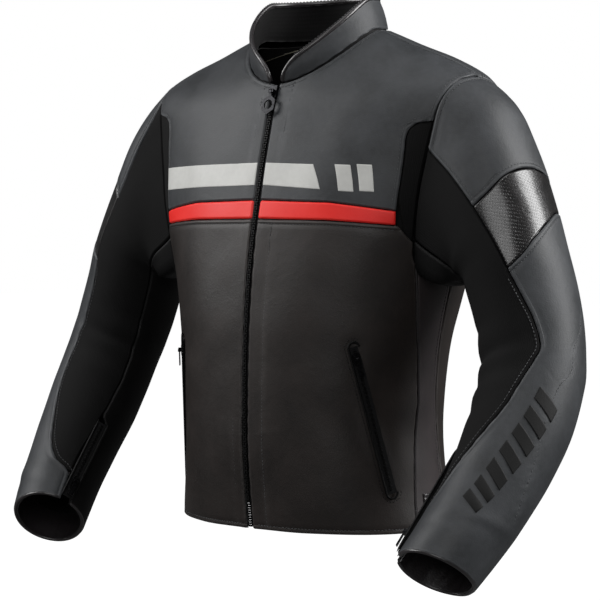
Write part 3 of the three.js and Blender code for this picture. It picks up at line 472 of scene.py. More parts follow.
def foam_material():
    """Moulded protector foam: blue-grey closed cells about 1.5 mm wide, matt, painted darker in their sunken
    middles as painted shade.
    """
    made, tree, surface = material("moulded_protector_foam", {"Roughness": 0.8})
    at = add(tree, "ShaderNodeTexCoord").outputs["Object"]
    cells = add(tree, "ShaderNodeTexVoronoi", {"Scale": 650.0}, {"Vector": at})
    # each cell is painted darker towards its sunken middle: painted shade
    ramp = add(tree, "ShaderNodeValToRGB", links={"Fac": cells.outputs["Distance"]})
    ramp.color_ramp.elements[0].color = colour("#31425c")
    ramp.color_ramp.elements[1].color = colour("#4d6488")
    tree.links.new(ramp.outputs["Color"], surface.inputs["Base Color"])
    bump = add(tree, "ShaderNodeBump", {"Strength": 0.5, "Distance": 0.0003},
               {"Height": cells.outputs["Distance"]})
    tree.links.new(bump.outputs["Normal"], surface.inputs["Normal"])
    return made


METAL = metal_material()
# moulded zip teeth: black acetal, satin
TEETH = leather("black_acetal_teeth", "#050505", "#0b0b0c", rough=0.5, grain=0.8, relief=0.03, rub_and_highlight=0.0,
                gleam=0.2, crease=0.0)
PUNCHED = perforated_material()
FOAM = foam_material()


# ---------------------------------------------------------------- meshes
def grid_faces(rows, columns, ring=False):
    """Quads between neighbours of a grid, wound so that columns x rows points outwards."""
    i = np.arange(rows - 1)[:, None] * columns
    j = np.arange(columns if ring else columns - 1)[None, :]
    k = (j + 1) % columns
    return np.stack([i + j, i + k, i + columns + k, i + columns + j], -1).reshape(-1, 4)


def shell(outer, inner):
    """Closed wall from two grids: each row runs over the outer grid and back over the inner one."""
    loop = np.concatenate([outer, inner[:, ::-1]], axis=1)
    rows, n = loop.shape[:2]
    j = np.arange(n // 2 - 1)
    low = np.stack([j, n - 1 - j, n - 2 - j, j + 1], -1)
    faces = np.concatenate([grid_faces(rows, n, ring=True), low, low[:, ::-1] + (rows - 1) * n])
    return loop.reshape(-1, 3), faces


def wall_map(across, along):
    """Lengths in mm over both faces of a closed wall: the grid, and the same grid run backwards."""
    flat = np.stack(np.broadcast_arrays(across[None], along[:, None]), -1)
    return np.concatenate([flat, flat[:, ::-1]], 1).reshape(-1, 2)


def tube(path, radius, up, finish, sides=8, flat=1.0, taper=True):
    """Part: an ellipse carried along a path, with its ends drawn in to a rounded point if it tapers."""
    t = unit(np.gradient(path, axis=0))
    side = unit(np.cross(t, up))
    up = np.cross(side, t)
    r = np.broadcast_to(np.asarray(radius, float), path.shape[:1]).copy()
    if taper:
        r[[0, -1]] *= 0.15
        r[[1, -2]] *= 0.75
    a = np.linspace(0, 2 * np.pi, sides, endpoint=False)
    grid = (path[:, None] + (r[:, None] * np.cos(a))[..., None] * side[:, None]
            + (r[:, None] * flat * np.sin(a))[..., None] * up[:, None])
    faces = grid_faces(len(path), sides, ring=True)
    caps = np.stack([np.arange(sides), np.arange(sides)[::-1] + (len(path) - 1) * sides])
    return grid.reshape(-1, 3), [faces, caps], finish


def resample(path, step):
    """Fractional places of points that lie an even step apart along a path."""
    run = np.concatenate([[0], np.cumsum(np.linalg.norm(np.diff(path, axis=0), axis=1))])
    count = max(int(round(run[-1] / step)), 1) + 1
    return np.interp(np.linspace(0, run[-1], count), run, np.arange(len(path)))


def take(values, at):
    """Rows of an array at fractional places."""
    i = np.clip(at.astype(int), 0, len(values) - 2)
    f = (at - i)[:, None]
    return values[i] * (1 - f) + values[i + 1] * f


def stations(path, normal, pitch):
    """Middles of even steps along a path, and the axes there: along, sideways and outwards."""
    at = resample(path, pitch)
    at = (at[:-1] + at[1:]) / 2
    n = unit(take(normal, at))
    t = unit(take(path, np.minimum(at + 0.2, len(path) - 1)) - take(path, np.maximum(at - 0.2, 0)))
    return take(path, at), t, np.cross(n, t), n


def stitches(path, normal, finish, pitch=4.2, length=2.9, width=0.95):
    """Parts: a row of short rounded threads along a path, each a six-sided spindle; none on a short one."""
    c, t, side, n = stations(path, normal, pitch)
    if len(c) < 3:
        return []
    x = np.array([-0.5, -0.36, 0.36, 0.5]) * length
    r = np.array([0.3, 1, 1, 0.3]) * width / 2
    a = np.arange(6) * np.pi / 3
    local = (c[:, None, None] + x[None, :, None, None] * t[:, None, None]
             + (r[:, None] * np.cos(a))[None, ..., None] * side[:, None, None]
             + (r[:, None] * np.sin(a) * 0.8)[None, ..., None] * n[:, None, None])
    base = (np.arange(len(c)) * 24)[:, None, None]
    walls = (grid_faces(4, 6, ring=True)[None] + base).reshape(-1, 4)
    caps = np.stack([np.arange(6), np.arange(6)[::-1] + 18])
    return [(local.reshape(-1, 3), [walls, (caps[None] + base).reshape(-1, 6)], finish)]


def piece(name, parts, mirror=False):
    """One object from parts of (points, faces, material, mm map, wear and painted highlight); mirrored parts
    turn their faces.
    """
    points, corners, counts, slots, maps, rubs_and_highlights, used, base = [], [], [], [], [], [], [], 0
    for verts, faces, finish, *more in parts:
        verts = np.asarray(verts, float).reshape(-1, 3)
        flat = more[0] if more and more[0] is not None else verts[:, [0, 2]]
        rub_and_highlight = more[1] if len(more) > 1 else np.zeros(len(verts))
        if mirror:
            verts = verts * (-1, 1, 1)
        if finish not in used:
            used.append(finish)
        for some in (faces if isinstance(faces, list) else [faces]):
            some = some[:, ::-1] if mirror else some
            corners.append((some + base).ravel())
            counts.append(np.full(len(some), some.shape[1]))
            slots.append(np.full(len(some), used.index(finish)))
            maps.append(np.asarray(flat)[some.ravel()])
        points.append(place(verts))
        rubs_and_highlights.append(np.asarray(rub_and_highlight, float).ravel())
        base += len(verts)
    mesh = bpy.data.meshes.new(name)
    corners, counts = np.concatenate(corners), np.concatenate(counts)
    mesh.vertices.add(base)
    mesh.vertices.foreach_set("co", np.concatenate(points).ravel())
    mesh.loops.add(len(corners))
    mesh.loops.foreach_set("vertex_index", corners.astype(np.int32))
    mesh.polygons.add(len(counts))
    mesh.polygons.foreach_set("loop_start", (np.cumsum(counts) - counts).astype(np.int32))
    mesh.polygons.foreach_set("loop_total", counts.astype(np.int32))
    mesh.polygons.foreach_set("material_index", np.concatenate(slots).astype(np.int32))
    mesh.polygons.foreach_set("use_smooth", np.ones(len(counts), bool))
    mesh.uv_layers.new(name="mm").data.foreach_set("uv", np.concatenate(maps).ravel())
    # per-point amount of the paler seam tone: wear and a painted highlight
    mesh.attributes.new("rub_and_highlight", "FLOAT", "POINT").data.foreach_set("value", np.concatenate(rubs_and_highlights))
    mesh.update(calc_edges=True)
    mesh.validate()
    mesh.set_sharp_from_angle(angle=np.radians(48))
    for finish in used:
        mesh.materials.append(finish)
    obj = bpy.data.objects.new(name, mesh)
    bpy.context.scene.collection.objects.link(obj)
    return obj


# ---------------------------------------------------------------- panels of leather
EDGE_MM = np.array([0, 0.5, 1.1, 1.8, 2.7, 3.5, 4.2, 4.9, 5.6, 6.4])


def spaced(length, step):
    """Shares of a length: close together near both ends, then even steps."""
    near = EDGE_MM if length > 26 else EDGE_MM[:max(2, int(length / 3))] * min(1, length / 26)
    span = length - 2 * near[-1]
    middle = np.linspace(0, 1, max(int(span / step), 2) + 1)[1:-1] * span + near[-1]
    return np.concatenate([near, middle, (length - near)[::-1]]) / length


def border(points, curved=False):
    """Edge of a panel from rows (u, v): a function of 0 to 1, straight between rows or smooth."""
    rows = np.array(points, float)
    run = np.concatenate([[0], np.cumsum(np.linalg.norm(np.diff(rows, axis=0), axis=1))])
    run = run / run[-1]

    def at(t):
        """Points of the edge at shares of its length."""
        if curved:
            return spline(list(zip(run, rows.tolist())), t)
        return np.stack([np.interp(t, run, rows[:, 0]), np.interp(t, run, rows[:, 1])], -1)
    return at


def straight(start, end):
    """Edge of a panel that runs straight between two corners (u, v): a function of 0 to 1."""
    return lambda t: start * (1 - t[:, None]) + end * t[:, None]


def nearest(points, path):
    """Distance from each point to a densely sampled path, in blocks to spare memory."""
    flat = points.reshape(-1, 3)
    out = np.empty(len(flat))
    for i in range(0, len(flat), 2000):
        block = flat[i:i + 2000, None] - path[None]
        out[i:i + 2000] = np.sqrt((block**2).sum(-1)).min(1)
    return out.reshape(points.shape[:-1])


def panel(surface, left, right, low=None, high=None, finish=GREY, step=5.0, lift=0.0, thick=SHELL,
          roll=(1, 1, 1, 1), drop=1.5, sewn="", lines=(), soft=1.0, folds=plain, thread=THREAD, inset=5.0,
          radius=2.0):
    """Patch between four edge curves (Coons): lerp of left and right plus lerp of low and high, less the
    corners' lerp, laid on a surface. The face follows the surface plus its folds, rolls down at the
    edges, and dips along each sewn line. Edges are named l, r, b and t in sewn."""
    left = left if callable(left) else border(left)
    right = right if callable(right) else border(right)
    bottom, top = straight(left(0.0), right(0.0)), straight(left(1.0), right(1.0))
    low = bottom if low is None else border(low)
    high = top if high is None else border(high)
    dense = np.linspace(0, 1, 161)
    sides = [surface(*edge(dense).T) for edge in (left, right, low, high)]
    sizes = [np.linalg.norm(np.diff(s, axis=0), axis=1).sum() for s in sides]
    wide = max(sizes[2], sizes[3], np.linalg.norm(surface(*left(0.5)) - surface(*right(0.5))))
    tall = max(sizes[0], sizes[1])
    a, b = spaced(wide, step), spaced(tall, step)
    uv = (left(b)[:, None] * (1 - a)[None, :, None] + right(b)[:, None] * a[None, :, None]
          + low(a)[None] * (1 - b)[:, None, None] + high(a)[None] * b[:, None, None])
    uv = uv - (bottom(a)[None] * (1 - b)[:, None, None] + top(a)[None] * b[:, None, None])
    base = surface(uv[..., 0], uv[..., 1])
    normal = outward(surface, uv[..., 0], uv[..., 1])
    height = lift + soft * softness(base) + folds(uv[..., 0], uv[..., 1])
    rub_and_highlight = np.zeros(height.shape)
    seams = []
    centre = base.reshape(-1, 3).mean(0)
    for key, side, edge, on in zip("lrbt", sides, (left, right, low, high), roll):
        d = nearest(base, side)
        height = height - on * drop * (1 - smooth(d / radius))**1.5
        # paler band about 1.4 mm in from each rolled edge: wear, and a painted highlight on the roll
        rub_and_highlight = np.maximum(rub_and_highlight, on * np.exp(-((d - 1.4) / 1.2)**2))
        if key in sewn:
            height = height - 0.55 * np.exp(-((d - inset) / 1.0)**2)
            across = np.cross(outward(surface, *edge(dense).T), unit(np.gradient(side, axis=0)))
            across = across * np.sign(((centre - side) * across).sum(-1).mean())
            seams.append((side + across * inset, edge(dense), slice(4, -4)))
    for line in lines:
        track = border(line, curved=True)(dense)
        on_line = surface(*track.T)
        d = nearest(base, on_line)
        height = height - 0.7 * np.exp(-(d / 1.1)**2)
        # paler bands about 1.9 mm either side of a stitched line: wear, and a painted highlight on the lips
        # of the dip
        rub_and_highlight = np.maximum(rub_and_highlight, 0.8 * np.exp(-((d - 1.9) / 0.8)**2))
        seams.append((on_line, track, slice(None)))
    outer = base + normal * height[..., None]
    inner = base + normal * (np.minimum(height, lift + 9) - thick)[..., None]
    verts, faces = shell(outer, inner)
    rubs_and_highlights = np.concatenate([rub_and_highlight, rub_and_highlight[:, ::-1] * 0], 1).ravel()
    parts = [(verts, faces, finish, wall_map(a * wide, b * tall), rubs_and_highlights)]
    for path, track, keep in seams:
        out = outward(surface, *track.T)
        level = lift + soft * softness(path) + folds(*track.T) - 0.35
        parts += stitches((path + out * level[:, None])[keep], out[keep], thread)
    return parts


def strip(surface, rows, width, rise, finish, soft=1.0, folds=plain, flat=0.6):
    """Part: a rounded cord or welt that lies along a route on a surface."""
    track = border(rows, curved=True)(np.linspace(0, 1, 120))
    out = outward(surface, *track.T)
    path = surface(*track.T)
    path = path + out * (rise + soft * softness(path) + folds(*track.T))[:, None]
    return tube(path, width / 2, out, finish, flat=flat)


def both(name, parts_for, cad):
    """The same piece on the left and the right of the jacket's body."""
    for side, mirrored in SIDES.items():
        obj = piece(f"{name}_{side}", parts_for(side), mirrored)
        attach(obj, "jacket_body")
        if cad:
            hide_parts(f"{cad}_{side}")


def centred(name, parts, cad):
    """One piece in the middle of the jacket's body."""
    obj = piece(name, parts)
    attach(obj, "jacket_body")
    if cad:
        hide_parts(cad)


def opening(low, high, x=ZIP_EDGE, count=24):
    """Edge beside the front zip, a fixed distance from the middle plane."""
    v = np.linspace(low, high, count)
    return list(zip(angle_at(x, v), v))


def mirror_edge(rows):
    """The same edge on the other side of the middle plane."""
    return [(360 - a, v) for a, v in rows]


def on_body(*args, folds=body_drapes, **kwargs):
    """Panel that lies on the body and takes its drapes."""
    return panel(torso, *args, folds=folds, **kwargs)


# the seam where the leather yoke meets the stretch panel, from the armpit up and out to the armhole
STRETCH_SEAM = [(57.0, 341), (52.4, 365), (50.0, 380), (48.2, 424), (46.9, 452), (47.4, 463), (50.2, 470.4),
                (56.5, 471.5)]
BACK_SEAM = [(103.5, 1), (100.2, 89), (96, 150), (93.6, 207), (91.6, 260), (90.6, 298)]


def stretch_seam(side):
    """The seam's upper half stands higher on the side where the stretch panel reaches further up."""
    return STRETCH_SEAM[:4] + [(a, v + STRETCH_RISE[side]) for a, v in STRETCH_SEAM[4:]]


def yoke_parts(side):
    """Front yoke: from the zip out to the stretch panel and the armhole, and up to the neck."""
    right = [(50.6, 366.6)] + [(a - 0.25, v) for a, v in stretch_seam(side)[2:]]
    right += armhole_seam(473 + STRETCH_RISE[side], 518.5, HOLE_FRONT, 24)
    right += [(91.7, 519.4), (91.7, 577)]
    return on_body(opening(379.6, 577), right, finish=GREY, sewn="rt",
                   low=[(angle_at(ZIP_EDGE, 379.6), 379.6), (25, 376.5), (50.6, 366.6)],
                   lines=[opening(381, 574, x=FACING_SEAM[side])])


both("yoke_front", yoke_parts, "front_yoke")

# white leather laid on the yoke, 0.55 mm proud of it
APPLIED = dict(finish=WHITE, lift=0.55, thick=0.5, drop=0.4, radius=0.7, step=6)


def stripe_parts(side):
    """Chest stripe: short with a slanted end on the wearer's left, right across on the other side."""
    end = [(20.6, 390.5), (16.6, 420)] if side == "left" else [(47.9, 391), (47.2, 418)]
    return on_body(opening(396, 423, x=ZIP_EDGE + 1.5, count=6), border(end), **APPLIED)


both("chest_stripe", stripe_parts, "white_stripe")


def dash_parts():
    """Two short slanted dashes that carry the stripe on across the wearer's left."""
    parts = []
    for start in (25.5, 33.0):
        parts += on_body([(start + 1.6, 388.5), (start - 1.6, 419.5)],
                         [(start + 7.0, 387.5), (start + 3.8, 418.5)], **APPLIED)
    return parts


centred("chest_dashes", dash_parts(), None)


def band_parts(side):
    """Red band between the yoke and the lower front; it falls a little towards the arm."""
    return on_body(opening(358, 378.4, count=6), [(52.0, 350.6), (50.6, 365.6)],
                   low=[(angle_at(ZIP_EDGE, 358), 358), (25, 356.4), (52.0, 350.6)],
                   high=[(angle_at(ZIP_EDGE, 378.4), 378.4), (25, 375.4), (50.6, 365.6)],
                   finish=RED, step=6, thread=BLACK_THREAD)


both("chest_band", band_parts, "red_band")


def pocket_swell(angle, v):
    """The straight zip bridges the hollow of the waist, so the leather rises to it over 15 mm each side."""
    t = np.clip((POCKET_TOP[1] - v) / (POCKET_TOP[1] - POCKET_END[1]), 0, 1)
    middle = POCKET_TOP[0] + (POCKET_END[0] - POCKET_TOP[0]) * t
    on = torso(middle, POCKET_TOP[1] + (POCKET_END[1] - POCKET_TOP[1]) * t)
    chord = torso(*POCKET_TOP) * (1 - t)[..., None] + torso(*POCKET_END) * t[..., None]
    gap = ((chord - on) * outward(torso, middle, v)).sum(-1)
    beyond = np.maximum(np.maximum(v - POCKET_TOP[1], POCKET_END[1] - v), 0)
    mask = np.exp(-((angle - middle) * 2.9 / 15)**4 - (beyond / 12)**2)
    own = softness(torso(angle, v)) + body_drapes(angle, v)
    return body_drapes(angle, v) + mask * (gap - 0.4 - own)


def front_parts(side):
    """Lower front: from the zip round to the side seam and up to the armhole."""
    right = [(78, 1), (79.9, 60), (82.9, 151), (80.5, 200), (75.8, 240), (70.8, 280), (66.9, 306)]
    right += armhole_seam(312, 330, HOLE_FRONT, 8) + [(57.0, 341), (53.2, 349.4)]
    return on_body(opening(1, 356.8), right, low=[(angle_at(ZIP_EDGE, 1), 1), (40, 1), (78, 1)],
                   high=[(angle_at(ZIP_EDGE, 356.8), 356.8), (25, 355.2), (53.2, 349.4)],
                   finish=BROWN, sewn="bt", lines=[opening(4, 354, x=FACING_SEAM[side])],
                   folds=pocket_swell)


both("front_lower", front_parts, "lower_front")


def stretch_parts(side):
    """Stretch panel between the yoke and the front of the armhole."""
    seam = stretch_seam(side)
    top = seam[-1][1]
    rim = armhole_seam(332, top - 0.7, HOLE_FRONT, 40)
    return on_body([(61.2, 331.5)] + seam, rim, high=[(seam[-1][0], top - 0.1), (rim[-1][0], top - 0.6)],
                   finish=STRETCH, drop=2.0, lift=-0.8)


both("stretch_front", stretch_parts, "armhole_stretch")


def side_parts(side):
    """Side panel between the lower front and the back, up to the armpit."""
    front_seam = [(78.6, 1), (80.5, 60), (83.5, 151), (81.1, 200), (76.4, 240), (71.4, 280), (67.7, 306)]
    return on_body(front_seam, [(a - 0.3, v) for a, v in BACK_SEAM],
                   high=[(67.7, 306), (77, 293.5), (90.3, 297)], finish=SIDE, sewn="r", thread=BLACK_THREAD)


def piping_parts(side):
    """Piping sewn into the seam between the lower front and the side panel."""
    seam = [(78.3, 2), (80.2, 60), (83.2, 151), (80.8, 200), (76.1, 240), (71.1, 280), (67.3, 305)]
    return [strip(torso, seam, 2.6, 0.1, GLOSS, folds=body_drapes)]


both("side_lower", side_parts, "side_panel")
both("side_piping", piping_parts, None)

low_side = [(a + 0.3, v) for a, v in BACK_SEAM] + armhole_seam(302, 379, HOLE_BACK, 20)
centred("back_lower", on_body(low_side, mirror_edge(low_side), finish=BROWN, sewn="bt", thread=BLACK_THREAD,
                              step=7), "lower_back")
high_side = armhole_seam(380.4, 518.5, HOLE_BACK, 40) + [(92.0, 519.4), (92.0, 577)]
centred("yoke_back", on_body(high_side, mirror_edge(high_side), finish=GREY, sewn="lrt", step=7),
        "back_yoke")

LINING_EDGE = 14.0       # distance of the lining's front edge from the middle


def lining_side(branch):
    """Side edge of the lining, which goes round the front or the back of the armhole."""
    top = HOLE_V[-1]
    return ([(90, 7), (90, HOLE_V[0] - 1)] + armhole_seam(HOLE_V[0], top, branch, 30)
            + [(90, top + 1), (90, 574)])


def lining_parts():
    """Body lining, a back and two fronts, hung 11 mm inside the leather."""
    hung = dict(finish=LINING, step=10, lift=-11.0, thick=1.2, soft=0.6, drop=0.0)
    back = lining_side(HOLE_BACK)
    half = panel(torso, opening(7, 574, x=LINING_EDGE), lining_side(HOLE_FRONT), **hung)
    other = [(v * (-1, 1, 1), f[:, ::-1], *rest) for v, f, *rest in half]
    return panel(torso, back, mirror_edge(back), **hung) + half + other


centred("lining_body", lining_parts(), "body_lining")

# ---------------------------------------------------------------- collar
COLLAR_START = 6.4       # angle from the middle at which the collar begins
wall_edge = [(COLLAR_START, 0.6), (COLLAR_START + 0.5, 20), (COLLAR_START + 3.4, 39.4)]
centred("collar_wall", panel(collar, wall_edge, mirror_edge(wall_edge), finish=GREY, step=4, soft=0.25,
                             sewn="t", inset=4.2), "collar_outer")
inside_edge = [(COLLAR_START + 0.4, -7), (COLLAR_START + 3.6, 39.4)]
centred("collar_inside", panel(collar, inside_edge, mirror_edge(inside_edge), finish=LINING, step=4,
                               lift=-2.6, thick=1.2, soft=0.25), "collar_lining")


def binding_parts():
    """Folded strip over the collar's edge: an ellipse 5.8 by 5.5 mm along the rim and down both ends."""
    down = [(COLLAR_START, 2), (COLLAR_START + 0.2, 12), (COLLAR_START + 0.9, 24), (COLLAR_START + 2.4, 34),
            (COLLAR_START + 5.2, 39.5)]
    top = [(a, 40.6) for a in np.linspace(COLLAR_START + 10, 349 - COLLAR_START, 60)]
    track = border(down + top + mirror_edge(down[::-1]), curved=True)(np.linspace(0, 1, 320))
    out = outward(collar, track[:, 0], np.minimum(track[:, 1], 40))
    path = collar(*track.T) - out * 1.5
    seam = path + out * 1.2 - np.array([0, 0, 3.4])
    return [tube(path, 2.9, out, GLOSS, sides=10, flat=0.95)] + stitches(seam, out, BLACK_THREAD, pitch=3.6,
                                                                        length=2.4, width=0.8)


centred("collar_rim", binding_parts(), "collar_binding")

NAPE = torso(180.0, NECK)[1] - 2.0 - 6.4     # depth of the strap's ends, inside the leather and the lining
STRAP_WIDE, STRAP_TALL = 46, 9


def strap_parts():
    """Hanging strap: a woven arch that comes forwards by 12 mm times the cosine across it to the 0.7,
    with both ends sewn down."""
    x, z = np.linspace(-STRAP_WIDE / 2, STRAP_WIDE / 2, 41), np.linspace(-STRAP_TALL / 2, STRAP_TALL / 2, 9)
    arch = NAPE - 12 * np.cos(np.pi * np.clip(x, -22.99, 22.99) / STRAP_WIDE)**0.7 - 1.2
    strap = np.stack(np.broadcast_arrays(x[None], arch[None] - 0.7, ORIGIN[2] + z[:, None]), -1)
    verts, faces = shell(strap, strap + np.array([0, 1.4, 0]))
    parts = [(verts, faces, TAPE, wall_map(x, z))]
    for end in (-21.5, 21.5):
        line = np.stack([np.full(9, end), np.full(9, NAPE - 2.0), ORIGIN[2] + z], -1)
        parts += stitches(line, np.tile([0, -1.0, 0], (9, 1)), BLACK_THREAD, pitch=2.0, length=1.6)
    return parts


def tag_parts():
    """Blank tag beside the strap, 11 by 22 mm, curled in a sine."""
    x, z = np.linspace(-23, -12, 7), np.linspace(560, 582, 11)
    y = NAPE - 1.0 + 1.2 * np.sin(z / 6)
    face = np.stack(np.broadcast_arrays(x[None], y[:, None], z[:, None]), -1)
    return [(*shell(face, face + np.array([0, 0.6, 0])), TAG)]


centred("hanging_strap", strap_parts(), "hanger_loop")
centred("red_tag", tag_parts(), None)
# pale cord stitched inside the neck
CORD_ROUTE = [(228, 571), (236, 567), (243, 560), (247, 551)]
centred("lining_cord", [strip(torso, CORD_ROUTE, 1.6, -13.0, PIPING)], None)


# ---------------------------------------------------------------- zips
def teeth(path, normal, pitch=2.6, width=5.0, height=1.6):
    """Closed zip: moulded teeth that lie alternately to either side, each a small block with a bevel."""
    c, t, side, n = stations(path, normal, pitch)
    odd = np.arange(len(c)) % 2 == 1
    way = np.where(odd, 1, -1)[:, None] * side
    along = np.array([-0.5, 0.5, 0.5, -0.5]) * (pitch * 0.78)
    reach = np.array([-0.35, -0.35, 0.65, 0.65]) * width * 0.7
    rows = []
    for level, shrink in ((0.0, 1.0), (0.7 * height, 1.0), (height, 0.7)):
        rows.append(c[:, None] + t[:, None] * (along * shrink)[None, :, None]
                    + way[:, None] * (reach * shrink)[None, :, None] + n[:, None] * level)
    one = np.concatenate([grid_faces(3, 4, ring=True), [[3, 2, 1, 0], [8, 9, 10, 11]]])
    base = (np.arange(len(c)) * 12)[:, None, None]
    faces = np.where(odd[:, None, None], one[:, ::-1][None], one[None]) + base
    return np.stack(rows, 1).reshape(-1, 3), faces.reshape(-1, 4)


def zip_frame(surface, start, end, sink):
    """Straight zip between two places of a surface: its top, its axes across, up and outwards, its length."""
    top, low = surface(*start), surface(*end)
    out = outward(surface, (start[0] + end[0]) / 2, (start[1] + end[1]) / 2)
    y = unit(top - low)
    x = unit(np.cross(y, out))
    z = np.cross(x, y)
    return top - z * sink, x, y, z, np.linalg.norm(top - low)


def stadium(centre, x, y, half_wide, length, count=72):
    """Round-ended loop about a slit that runs down from centre."""
    a = np.linspace(0, 2 * np.pi, count + 1)
    down = np.where(np.sin(a) >= 0, 0.0, length)
    return centre + (half_wide * np.cos(a))[:, None] * x + (half_wide * np.sin(a) - down)[:, None] * y


def flat_zip(origin, x, y, z, length, half=6.2):
    """Parts: a flat tape, half its width each way, and a chain of teeth down its middle."""
    s, a = np.linspace(0, length, 60), np.linspace(-half, half, 9)
    face = (origin + a[None, :, None] * x - s[:, None, None] * y)[::-1]
    verts, faces = shell(face + z * 0.1, face - z * 0.9)
    middle = origin - np.linspace(3, length - 3, 60)[:, None] * y + z * 0.1
    chain = teeth(middle, np.tile(z, (60, 1)), width=4.4, height=1.2)
    return [(verts, faces, TAPE, wall_map(a, s)), (*chain, TEETH)]


def main_zip_parts(side):
    """One half of the front zip: tape beside the middle, and a chain of teeth 1.3 mm off it."""
    v = np.linspace(*FRONT_ZIP, 120)
    tape = panel(closure, [(2.0, 3), (2.0, 511)], [(9.4, 3), (9.4, 511)], finish=TAPE, lift=-1.9, thick=0.9,
                 soft=0.0, step=12, drop=0.2)
    out = outward(closure, np.zeros(120), v)
    chain = teeth(closure(np.full(120, 1.3), v) + out * -1.9, out, pitch=2.8, width=3.6, height=2.0)
    return tape + [(*chain, TEETH)]


both("front_zip", main_zip_parts, "main_zip")

POCKET = zip_frame(torso, POCKET_TOP, POCKET_END, 0.4)


def lips(origin, x, y, z, length):
    """Raised rim round the slit: a rounded cord on a stadium loop, and stitches 4.2 mm outside it."""
    loop = stadium(origin + z * 1.2 - y * 1.0, x, y, 6.4, length - 2)
    out = stadium(origin + z * 0.75 - y * 1.0, x, y, 6.4 + 4.2, length - 2)
    up = np.tile(z, (len(loop), 1))
    return [tube(loop, 1.3, up, BLACK, flat=0.85, taper=False)] + stitches(out, up, BLACK_THREAD, pitch=3.8,
                                                                           length=2.6, width=0.8)


def pocket_parts(side):
    """Zip and raised rim of a slanted hip pocket, along the chord between its ends."""
    origin, x, y, z, length = POCKET
    raised = origin + z * 0.9
    return flat_zip(raised, x, y, z, length, half=6.0) + lips(raised, x, y, z, length)


def pouch_parts(side):
    """Pocket bag behind the slit, between the leather and the lining."""
    return panel(torso, border([(34, 60), (28, 120), (30, 205)], curved=True),
                 border([(70, 40), (66, 130), (54, 226)], curved=True), finish=LINING,
                 lift=-4.8, thick=3.0, soft=0.5, step=12)


def tab_parts(side):
    """Elastic waist tab: glazed leather gathered into four ribs."""
    def ribs(angle, v):
        """Four half sine waves, 5 mm apart up the tab."""
        return 1.3 * np.abs(np.sin(np.pi * (v - 24) / 5.0))
    return panel(torso, [(84.6, 24), (84.6, 44)], [(97.6, 24), (97.6, 44)], finish=GLOSS, lift=1.2, thick=1.2,
                 folds=ribs, step=1.2, drop=0.8, radius=1.2)


both("pocket_slit", pocket_parts, "pocket_zip")
both("pocket_pouch", pouch_parts, "pocket_bag")
both("waist_elastic", tab_parts, "waist_tab")

TROUSER_ZIP_HALF, TROUSER_ZIP_DEPTH = 75, 83.98     # half its length, and how far back its face lies


def trouser_zip_parts():
    """Zip that joins the jacket to trousers: a flat band inside the back hem, teeth along its low edge."""
    x, z = np.linspace(-TROUSER_ZIP_HALF, TROUSER_ZIP_HALF, 61), np.linspace(20, 44, 13)
    band = np.stack(np.broadcast_arrays(x[None], TROUSER_ZIP_DEPTH, z[:, None]), -1)
    verts, faces = shell(band, band + np.array([0, 1.6, 0]))
    ends = np.linspace(2 - TROUSER_ZIP_HALF, TROUSER_ZIP_HALF - 2, 60)
    chain = np.stack([ends, np.full(60, TROUSER_ZIP_DEPTH), np.full(60, 22.5)], -1)
    return [(verts, faces, TAPE, wall_map(x, z)),
            (*teeth(chain, np.tile([0, -1.0, 0], (60, 1)), width=3.4, height=1.0), METAL)]


centred("trouser_zip", trouser_zip_parts(), "connection_zip")

# ---------------------------------------------------------------- sleeves
# seams as (place down the arm, angle)
FRONT_SEAM = {
    "left": [(0, 70), (40, 76), (74, 74), (110, 70), (142, 66), (170, 60), (205, 52), (240, 48), (260, 56),
             (290, 68), (328, 82), (370, 104), (408, 124), (448, 142), (464, 152), (480, 154.5),
             (530, 154.5)],
    "right": [(0, 24), (24, 37), (70, 56), (128, 68), (174, 75), (268, 76), (338, 80), (404, 100),
              (450, 126), (464, 150), (480, 154.5), (530, 154.5)]}
INNER_SEAM = [(0, 142), (80, 145), (150, 148), (232, 151), (300, 158), (350, 158), (372, 156), (464, 154.9),
              (530, 154.9)]
BACK = -100.0            # angle of the seam at the back of the arm
BLEND_AT = 160.0         # place where the cloth of the shoulder meets the cloth of the elbow
CUFF_SLANT = {"left": (20, 26.0), "right": (128, 9.0)}     # angle that draws up most, and how far
# the punched patch as (angle, place): its two edges, and the place where it ends on the front seam
PATCH_TOP = [(-100, 86), (-14, 82)]
PATCH_LOW = [(-100, 96), (-60, 99), (-14, 108), (30, 124)]
PATCH_END = {"left": 142, "right": 140}
CUFF_ZIP = (163.0, 372.0)


def seam_rows(rows, low, high, gap=0.0, count=40):
    """Rows (angle, place) along a seam between two places, moved sideways by a gap in degrees."""
    s = np.linspace(low, high, count)
    return list(zip(spline(rows, s) + gap, s))


def arm_blend(obj, side, joint):
    """Cloth that crosses the shoulder or the elbow has its transform baked into its points and rides on no
    body; at the elbow the arm's middle and direction are found but not used.
    """
    _, line, forward, places = SLEEVES[side]
    if joint == "shoulder":
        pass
    else:
        middle, way = line(places[ELBOW_RING]), forward(places[ELBOW_RING])
    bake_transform(obj)


def add_sleeve_piece(name, side, parts, joint, cad):
    """One piece of an arm: where it crosses the shoulder or the elbow its transform is baked in, otherwise it
    rides on the body that's named.
    """
    obj = piece(f"{name}_{side}", parts, SIDES[side])
    if joint in ("shoulder", "elbow"):
        arm_blend(obj, side, joint)
    else:
        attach(obj, joint)
    if cad:
        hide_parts(*[f"{n}_{side}" for n in cad])


